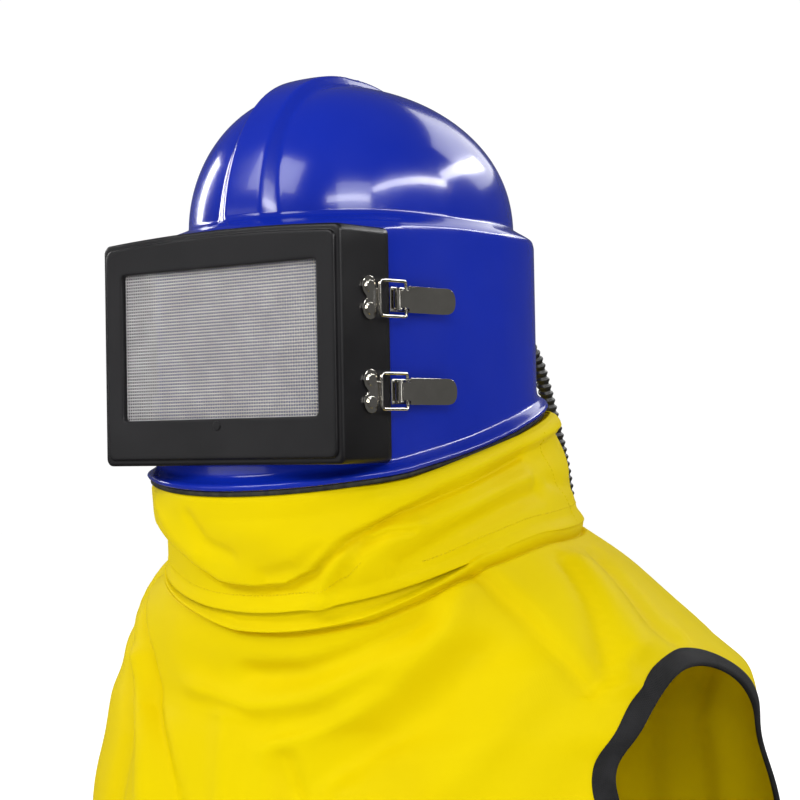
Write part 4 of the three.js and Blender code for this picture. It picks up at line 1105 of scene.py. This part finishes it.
def cape_ring(share, grow=0.0):
    """The cape's outline at a share of its fall from the neck to the hem."""
    _, wide, front, back, aside, side, fore, aft = (float(read(CAPE_ROWS, k, share)) for k in range(8))
    front, back = CAPE_FRONT * front, CAPE_BACK * back
    outline = oval(CAPE_HALF_WIDTH * wide + grow, front + grow, back + grow, CAPE_SQUARENESS)
    centre = (back - front) / 2
    turn = radians(CAPE_TURN * min(max(2 * share, 0), 1))
    heading = np.degrees(np.arctan2(outline[:, 0], -(outline[:, 1] - centre)))
    ahead = np.cos(np.radians(heading))
    reach = 1 + fold_at(CAPE_FOLDS, heading, share)
    drop = side + (np.where(ahead > 0, fore, aft) - side) * np.abs(ahead) ** 1.5
    x, y = outline[:, 0] * reach, (outline[:, 1] - centre) * reach
    return np.stack([CAPE_ASIDE * aside + x * cos(turn) - y * sin(turn),
                     centre + x * sin(turn) + y * cos(turn), NECK_SIDE - CAPE_LENGTH * drop], 1)


def collar_rings(shares):
    top = at_height(offset(BODY, CLOTH_SEAT), RIM - 3.9)
    bottom = cape_ring(0, 2.3)
    bottom[:, 2] += 3
    centre = (bottom[0, 1] + bottom[BACK_INDEX, 1]) / 2
    rings = []
    for share in shares:
        place = top * (1 - share) + bottom * share
        flat = place[:, :2] - [0, centre]
        heading = np.degrees(np.arctan2(flat[:, 0], -flat[:, 1]))
        bulge = 5 * float(read(COLLAR_ROWS, 1, share)) / np.linalg.norm(flat, axis=1)
        reach = (1 + fold_at(COLLAR_FOLDS, heading, share) + bulge)[:, None]
        rings.append(np.concatenate([flat * reach + [0, centre], place[:, 2:]], 1))
    return np.array(rings), centre


def ring_normals(rings):
    down = np.gradient(rings, axis=0)
    around = np.roll(rings, -1, 1) - np.roll(rings, 1, 1)
    normal = np.cross(down, around)
    return normal / np.maximum(np.linalg.norm(normal, axis=2, keepdims=True), 1e-9)


def along_normals(rings, distance):
    return rings + ring_normals(rings) * distance[..., None]


def line_distance(heading, share, line, radius, length):
    """How far each point of a cloth is from a line on it, in millimetres, and on which side."""
    middle = (line[0][0] + line[-1][0]) / 2
    u, v = np.radians(wrapped(heading - middle)) * radius, share * length
    knots = [(np.radians(h - middle) * radius, s * length) for h, s in line]
    best = np.full(u.shape, 1e9)
    side = np.zeros(u.shape)
    for (u0, v0), (u1, v1) in zip(knots, knots[1:]):
        du, dv = u1 - u0, v1 - v0
        t = np.clip(((u - u0) * du + (v - v0) * dv) / (du * du + dv * dv), 0, 1)
        away = np.hypot(u - u0 - t * du, v - v0 - t * dv)
        nearer = away < best
        best = np.where(nearer, away, best)
        side = np.where(nearer, np.sign((u - u0) * dv - (v - v0) * du), side)
    return best, side


def pressed(rings, heading, share, lines, radius, length, gain=1.0, step=2.0):
    """Moves cloth along its normals by its creases, ridges and laps."""
    move = np.zeros(heading.shape)
    for depth, width, lap, lap_width, line in lines:
        away, side = line_distance(heading, share, line, radius, length)
        move = move + gain * depth * np.exp(-(away / width) ** 2)
        if lap:
            move = move + lap * side * smooth(0, step, away) * np.exp(-(away / lap_width) ** 2)
    return along_normals(rings, move)


# depth and width of a line, height and width of a lap beside it, and the line as heading and share
COLLAR_LINES = (
    (0, 4, 3.4, 16, ((-110, 0.3), (-60, 0.34), (-36, 0.42), (-19, 0.57), (-8, 0.75), (5, 0.78), (13, 0.78),
                     (21, 0.70), (30, 0.44), (43, 0.27), (54, 0.21), (69, 0.17), (89, 0.14), (120, 0.16))),
    (-2.8, 3.6, 0, 1, ((-36, 0.45), (-19, 0.60), (-8, 0.78), (5, 0.81), (13, 0.81), (21, 0.73), (30, 0.47),
                       (43, 0.30), (54, 0.24), (69, 0.20), (89, 0.17))),
    (4.5, 13, 0, 1, ((38, 0.12), (60, 0.08), (90, 0.06), (118, 0.07))),
    (-3.5, 8, 0, 1, ((24, 0.52), (18, 0.66), (8, 0.7))),
    (3.5, 8, 0, 1, ((28, 0.62), (24, 0.8), (22, 0.93))),
    (-2.5, 5, 0, 1, ((34, 0.50), (31, 0.66), (27, 0.86))),
    (3.0, 9, 0, 1, ((40, 0.55), (52, 0.46), (70, 0.42), (88, 0.40))),
    (-3.5, 9, 0, 1, ((44, 0.80), (58, 0.66), (74, 0.6), (92, 0.56))),
    (2.0, 5, 0, 1, ((36, 0.44), (40, 0.42), (46, 0.44))),
    (-1.6, 3, 0, 1, ((36, 0.5), (40, 0.47), (45, 0.5))),
    (-2.0, 6, 0, 1, ((-14, 0.2), (-10, 0.42), (-2, 0.5))),
    (2.2, 9, 0, 1, ((-30, 0.15), (-24, 0.35), (-14, 0.52))),
    (-2.2, 7, 0, 1, ((100, 0.5), (112, 0.62), (126, 0.66))),
    (2.5, 8, 0, 1, ((150, 0.2), (158, 0.5), (160, 0.8))),
    (-2.5, 8, 0, 1, ((-140, 0.2), (-150, 0.5), (-146, 0.85))),
    (2.5, 9, 0, 1, ((-80, 0.25), (-88, 0.5), (-84, 0.8))),
    (-2.0, 8, 0, 1, ((-105, 0.5), (-118, 0.66), (-130, 0.7))),
)
NECK_ROLL = ((-170, 0.035), (-100, 0.035), (-60, 0.04), (-20, 0.06), (-6, 0.105), (14, 0.112), (30, 0.115),
             (41, 0.085), (48, 0.06), (56, 0.035), (90, 0.03), (168, 0.035))
SHOULDER_SEAM = ((54, 0.035), (57, 0.09), (62, 0.20), (67, 0.34), (70.5, 0.45))
CAPE_LINES = (
    (-4.2, 3.2, 0, 1, NECK_ROLL),
    (4.6, 8, 0, 1, tuple((h, s - 0.035) for h, s in NECK_ROLL)),
    (-2.8, 6, 2.6, 18, SHOULDER_SEAM),
    (-2.8, 6, 2.6, 18, tuple((-h, s) for h, s in SHOULDER_SEAM[::-1])),
    (-5, 9, 1.6, 16, ((-56, 0.18), (-51, 0.25), (-44, 0.36), (-39, 0.54), (-31, 0.65), (-24, 0.78), (-22, 0.9))),
    (-4.5, 9, 0, 1, ((-62, 0.30), (-58, 0.36), (-49, 0.57), (-45, 0.66), (-45, 0.78), (-46, 0.95))),
    (5, 12, 0, 1, ((-50, 0.4), (-44, 0.56), (-37, 0.68), (-32, 0.84), (-30, 0.95))),
    (-3.2, 6, 1.4, 14, ((79, 0.13), (77, 0.25), (74, 0.40), (73.5, 0.43))),
    (3.0, 8, 0, 1, ((76, 0.46), (77, 0.41), (80, 0.38))),
    (-3.5, 8, 0, 1, ((95, 0.12), (91, 0.24), (89, 0.33), (91, 0.38))),
    (4.0, 15, 0, 1, ((84, 0.15), (82, 0.28), (82, 0.36))),
    (4.5, 16, 0, 1, ((50, 0.1), (44, 0.22), (34, 0.36), (18, 0.48), (0, 0.60))),
    (-6, 17, 0, 1, ((40, 0.16), (28, 0.22), (12, 0.28), (-4, 0.30))),
    (5, 20, 0, 1, ((30, 0.26), (12, 0.36), (-6, 0.42), (-22, 0.4))),
    (-5, 20, 0, 1, ((52, 0.30), (40, 0.45), (26, 0.58), (10, 0.70))),
    (5, 22, 0, 1, ((62, 0.38), (54, 0.55), (42, 0.70), (30, 0.84))),
    (-5, 20, 0, 1, ((68, 0.66), (60, 0.8), (54, 0.97))),
    (5, 14, 0, 1, ((-14, 0.5), (-12, 0.7), (-10, 0.97))),
    (-6, 16, 0, 1, ((4, 0.62), (8, 0.8), (9, 0.98))),
    (5, 18, 0, 1, ((24, 0.7), (26, 0.85), (25, 0.98))),
    (-5, 16, 0, 1, ((-78, 0.55), (-84, 0.75), (-84, 0.97))),
    (-6, 15, 0, 1, ((118, 0.45), (124, 0.7), (126, 0.98))),
    (6, 17, 0, 1, ((138, 0.3), (144, 0.6), (146, 0.98))),
    (-6, 14, 0, 1, ((162, 0.3), (163, 0.6), (160, 0.98))),
    (6, 16, 0, 1, ((-172, 0.2), (-170, 0.6), (-172, 0.98))),
    (-6, 15, 0, 1, ((-150, 0.3), (-153, 0.6), (-150, 0.98))),
    (6, 17, 0, 1, ((-130, 0.25), (-134, 0.6), (-132, 0.98))),
    (-5, 14, 0, 1, ((-112, 0.35), (-112, 0.7), (-110, 0.98))),
)


def denser(rings):
    """Twice as many columns of points."""
    between = (9 * (rings + np.roll(rings, -1, 1)) - np.roll(rings, 1, 1) - np.roll(rings, -2, 1)) / 16
    return np.stack([rings, between], 2).reshape(len(rings), -1, 3)


def headings_of(rings, centre):
    return np.degrees(np.arctan2(rings[..., 0], -(rings[..., 1] - centre)))


def waved(heading, share, seed):
    """Small uneven ripples that no piece of cloth is without, in millimetres."""
    rng = np.random.default_rng(seed)
    total = np.zeros(heading.shape)
    for _ in range(26):
        turns, rows = rng.integers(2, 15), rng.uniform(1.5, 9)
        wave = np.sin(np.radians(turns * heading) + rows * 2 * share + rng.uniform(0, 2 * pi))
        total = total + wave / (turns + rows)
    return total


def flat_area(piece):
    return sum(face.area for face in piece.data.polygons)


def on_cloth(rings, centre, line, pitch):
    """Evenly spaced places on a cloth along a line of headings and shares, with the cloth's normals."""
    normals = ring_normals(rings)
    heading = headings_of(rings, centre)
    along = np.linspace(0, len(line) - 1, 400)
    h, s = (np.interp(along, np.arange(len(line)), [knot[j] for knot in line]) for j in (0, 1))
    found = []
    for one, share in zip(h, s):
        row = min(int(share * (len(rings) - 1)), len(rings) - 2)
        mix = share * (len(rings) - 1) - row
        both = []
        for k in (row, row + 1):
            values = np.concatenate([rings[k], normals[k]], 1)
            both.append([np.interp(one, heading[k], values[:, j], period=360) for j in range(6)])
        found.append(np.array(both[0]) * (1 - mix) + np.array(both[1]) * mix)
    found = np.array(found)
    travelled = np.concatenate([[0], np.cumsum(np.linalg.norm(np.diff(found[:, :3], axis=0), axis=1))])
    even = np.arange(0, travelled[-1], pitch)
    return np.stack([np.interp(even, travelled, found[:, j]) for j in range(6)], 1)


STITCH_PITCH, THREAD_THICKNESS = 3.3, 0.42


def stitches(name, rows):
    """Short threads laid along rows of places, as one piece."""
    points, faces = [], []
    for row in rows:
        for a, b in zip(row, row[1:]):
            along = b[:3] - a[:3]
            normal = a[3:] / np.linalg.norm(a[3:])
            across = np.cross(along, normal)
            across *= THREAD_THICKNESS / np.linalg.norm(across)
            first = len(points)
            for share, size in ((0.12, 0.5), (0.3, 1), (0.7, 1), (0.88, 0.5)):
                middle = a[:3] + along * share + normal * (0.1 if size == 1 else -0.1)
                for i, j in ((1, 0), (0, 1), (-1, 0), (0, -1)):
                    points.append(middle + across * i * size + normal * THREAD_THICKNESS * j * size)
            for k in range(3):
                for j in range(4):
                    c, d = first + 4 * k + j, first + 4 * k + (j + 1) % 4
                    faces.append((c, d, d + 4, c + 4))
            faces.append((first + 3, first + 2, first + 1, first))
            faces.append((first + 12, first + 13, first + 14, first + 15))
    return from_faces(name, points, faces)


STITCH_ROWS = (
    ((-60, 0.86), (-36, 0.84), (-12, 0.87), (0, 0.87), (11, 0.87), (22, 0.86), (30, 0.80), (34, 0.66)),
    ((48, 0.84), (65, 0.80), (85, 0.80), (104, 0.80), (130, 0.84), (170, 0.87)),
    ((100, 0.08), (104, 0.4), (108, 0.7), (110, 0.97)),
)
COLLAR_STEPS, COLLAR_RADIUS, COLLAR_FALL, COLLAR_GAIN, COLLAR_MIDDLE = 86, 150, 85, 1.2, -330
CAPE_STEPS, CAPE_RADIUS, CAPE_GAIN, CAPE_LAP_STEP, CAPE_MIDDLE = 168, 200, 1.35, 4.5, (0, 75, -500)


def make_collar(sizes):
    """The collar, the area of its cloth, and the stitches on it."""
    shares = np.linspace(0, 1, COLLAR_STEPS)
    rings, centre = collar_rings(shares)
    rings = denser(rings)
    heading = headings_of(rings, centre)
    down = np.broadcast_to(shares[:, None], heading.shape)
    rings = pressed(rings, heading, down, COLLAR_LINES, COLLAR_RADIUS, COLLAR_FALL, COLLAR_GAIN)
    flap = 2.6 * smooth(0.86, 1, down) - 1.2 * smooth(0, 0.05, 0.05 - down)
    rings = along_normals(rings, 0.9 * waved(heading, down, 3) * smooth(0, 0.1, down) + flap)
    seam = stitches("collar_stitches", [on_cloth(rings, centre, line, STITCH_PITCH) for line in STITCH_ROWS])
    carried(seam, "helmet", "cloth", FINISHES["thread"])
    collar = from_rings("cloth_collar", rings, centre=(0, centre, COLLAR_MIDDLE))
    area = flat_area(collar)
    thicken(collar, sizes.cloth_thickness)
    carried(collar, "helmet", "cloth", FINISHES["cloth"], "collar")
    return collar, area, seam


def make_cape(sizes):
    """The cape with its armholes open, the area of its cloth, and the tapes."""
    shares = np.linspace(0, 1, CAPE_STEPS)
    rings = np.array([cape_ring(share) for share in shares])
    heading = headings_of(rings, (CAPE_BACK - CAPE_FRONT) / 2)
    down = np.broadcast_to(shares[:, None], heading.shape)
    rings = pressed(rings, heading, down, CAPE_LINES, CAPE_RADIUS, CAPE_LENGTH, CAPE_GAIN, CAPE_LAP_STEP)
    rings = along_normals(rings, 1.6 * waved(heading, down, 8) * smooth(0.02, 0.2, down))
    stand = cape_ring(0, -3.3)
    stand[:, 2] += 10
    lead = [stand * (1 - t) + rings[0] * t for t in (0, 0.5)]
    cape = from_rings("cloth_cape", np.concatenate([np.array(lead), rings]), centre=CAPE_MIDDLE)
    tree = BVHTree.FromPolygons([v.co for v in cape.data.vertices], [f.vertices[:] for f in cape.data.polygons])
    shares_at = {side: tape_shares(tree, side) for side in (1, -1)}
    for side, reach in shares_at.items():
        open_armhole(cape, side, tree, reach)
    area = flat_area(cape)
    thicken(cape, sizes.cloth_thickness)
    carried(cape, "helmet", "cloth", FINISHES["cloth"], "cape")
    tapes = []
    for side, name in ((1, "left"), (-1, "right")):
        tape = armhole_tape(tree, side, name, sizes, shares_at[side])
        carried(tape, "helmet", "tape", FINISHES["tape"], f"armhole_binding_{name}")
        tapes.append(tape)
    return cape, area, tapes


class HOOD_OT_cloth(bpy.types.Operator):
    """Adds the collar with its stitches, the cape and the tape round its armholes"""
    bl_idname = "hood.add_cloth"
    bl_label = "Cloth"

    def execute(self, context):
        sizes = context.scene.hood_sizes
        collar, collar_area, seam = make_collar(sizes)
        cape, cape_area, tapes = make_cape(sizes)
        return {"FINISHED"}


# Armholes and their tape

# where on the cape's sides the edge of an armhole may lie, in metres
SIDE_FROM, SIDE_LOW, SIDE_HIGH = 0.13, -0.66, -0.38

def armhole_point(angle, shrink):
    """A point (y, z) of the armhole's oval, drawn in by shrink."""
    return (ARMHOLE_BACK + (ARMHOLE_HALF_DEPTH - shrink) * cos(angle),
            ARMHOLE_MIDDLE + (ARMHOLE_HALF_HEIGHT - shrink) * sin(angle))


def cloth_at(tree, side, y, z):
    """The place on the cape beside a point, and the way out from the cloth there."""
    hit, normal, _, _ = tree.ray_cast(Vector((side * 0.5, y * MM, z * MM)), Vector((-side, 0, 0)))
    if hit is None:
        raise RuntimeError(f"no cloth beside {y:.0f}, {z:.0f}")
    return hit, normal if normal.x * side > 0 else -normal


def evened(values, times):
    for _ in range(times):
        values = (np.roll(values, 1, 0) + 2 * values + np.roll(values, -1, 0)) / 4
    return values


def tape_shares(tree, side):
    """How far the tape reaches in from its outer line, all round, where the cloth lies slanting."""
    turned = [abs(cloth_at(tree, side, *armhole_point(2 * pi * k / ARMHOLE_STEPS, TAPE_WIDTH / 2))[1].x)
              for k in range(ARMHOLE_STEPS)]
    return evened(np.clip(turned, 0.4, 1), 30)


def armhole_reach(y, z, shrink, shares):
    """A point's distance from the armhole's middle, as a share of the armhole's reach there."""
    back, up = y / MM - ARMHOLE_BACK, z / MM - ARMHOLE_MIDDLE
    turn = atan2(up / ARMHOLE_HALF_HEIGHT, back / ARMHOLE_HALF_DEPTH) % (2 * pi)
    inward = shrink * shares[int(turn / (2 * pi) * ARMHOLE_STEPS) % ARMHOLE_STEPS]
    return ((back / (ARMHOLE_HALF_DEPTH - inward)) ** 2 + (up / (ARMHOLE_HALF_HEIGHT - inward)) ** 2) ** 0.5


def open_armhole(cape, side, tree, shares):
    """Cuts an armhole and draws its cut edge onto the tape's line."""
    shrink = TAPE_WIDTH - 3
    cut_faces(cape, lambda c: c.x * side > SIDE_FROM and armhole_reach(c.y, c.z, shrink, shares) < 1)
    mesh = cape.data
    uses = {}
    for face in mesh.polygons:
        for edge in face.edge_keys:
            uses[edge] = uses.get(edge, 0) + 1
    border = {v for edge, count in uses.items() if count == 1 for v in edge}
    for index in border:
        place = mesh.vertices[index].co
        if place.x * side < SIDE_FROM or place.z < SIDE_LOW or place.z > SIDE_HIGH:
            continue
        reach = armhole_reach(place.y, place.z, shrink, shares)
        y = ARMHOLE_BACK + (place.y / MM - ARMHOLE_BACK) / reach
        z = ARMHOLE_MIDDLE + (place.z / MM - ARMHOLE_MIDDLE) / reach
        mesh.vertices[index].co = cloth_at(tree, side, y, z)[0]
    deselect_points(cape)


def armhole_tape(tree, side, name, sizes, shares):
    """A folded tape that wraps the edge of an armhole, outside and inside."""
    stand = sizes.tape_thickness / MM
    wall = sizes.cloth_thickness / MM
    # how far in from the outer line, and how far off the cloth's outer face
    section = ((0, 0.3), (0.5, stand), (4, stand + 0.15), (9, stand + 0.1), (13.5, stand + 0.1),
               (15.4, stand * 0.7), (16, -wall / 2), (15.4, -wall - stand * 0.7), (13.5, -wall - stand),
               (8, -wall - stand), (1.5, -wall - stand), (0.8, -wall - 0.2), (0.8, -0.2))
    rng = np.random.default_rng(5)
    phases = rng.uniform(0, 2 * pi, 6)
    rings = []
    for inward, off in section:
        ring = []
        for k in range(ARMHOLE_STEPS):
            angle = 2 * pi * k / ARMHOLE_STEPS
            uneven = 0.25 * sum(sin((3 + 2 * j) * angle + phases[j]) / (j + 2) for j in range(6))
            shrink = min(inward + uneven * (1 if inward < 10 else 0.4), TAPE_WIDTH) * shares[k]
            hit, normal = cloth_at(tree, side, *armhole_point(angle, shrink))
            ring.append([*(hit / MM), *normal])
        ring = evened(np.array(ring), 6)
        outwards = ring[:, 3:] / np.linalg.norm(ring[:, 3:], axis=1, keepdims=True)
        rings.append(ring[:, :3] + outwards * off)
    return from_rings(f"armhole_tape_{name}", rings, closed=True)


class HOOD_OT_finishes(bpy.types.Operator):
    """Makes the finishes that the pieces use"""
    bl_idname = "hood.add_finishes"
    bl_label = "Finishes"

    def execute(self, context):
        FINISHES.update(make_finishes(context.scene.hood_colours))
        return {"FINISHED"}


class HOOD_PT_panel(bpy.types.Panel):
    """Lists the hood's pieces"""
    bl_idname = "HOOD_PT_panel"
    bl_label = "Blasting Hood"
    bl_space_type = "VIEW_3D"
    bl_region_type = "UI"
    bl_category = "Hood"

    def draw(self, context):
        for group in (context.scene.hood_sizes, context.scene.hood_colours):
            for name in group.__annotations__:
                self.layout.prop(group, name)
        for kind in OPERATORS:
            self.layout.operator(kind.bl_idname)


OPERATORS = (HOOD_OT_finishes, HOOD_OT_stage, HOOD_OT_hose, HOOD_OT_shell, HOOD_OT_window, HOOD_OT_latches,
             HOOD_OT_hinges, HOOD_OT_cloth)
CLASSES = (HoodSizes, HoodColours, *OPERATORS, HOOD_PT_panel)


def register():
    for kind in CLASSES:
        bpy.utils.register_class(kind)
    bpy.types.Scene.hood_sizes = bpy.props.PointerProperty(type=HoodSizes)
    bpy.types.Scene.hood_colours = bpy.props.PointerProperty(type=HoodColours)


def unregister():
    del bpy.types.Scene.hood_colours
    del bpy.types.Scene.hood_sizes
    for kind in reversed(CLASSES):
        bpy.utils.unregister_class(kind)


def main():
    register()
    bpy.ops.hood.add_finishes()
    bpy.ops.hood.add_stage()
    bpy.ops.hood.add_hose()
    bpy.ops.hood.add_shell()
    bpy.ops.hood.add_window()
    bpy.ops.hood.add_latches()
    bpy.ops.hood.add_hinges()
    bpy.ops.hood.add_cloth()


if __name__ == "__main__":
    main()
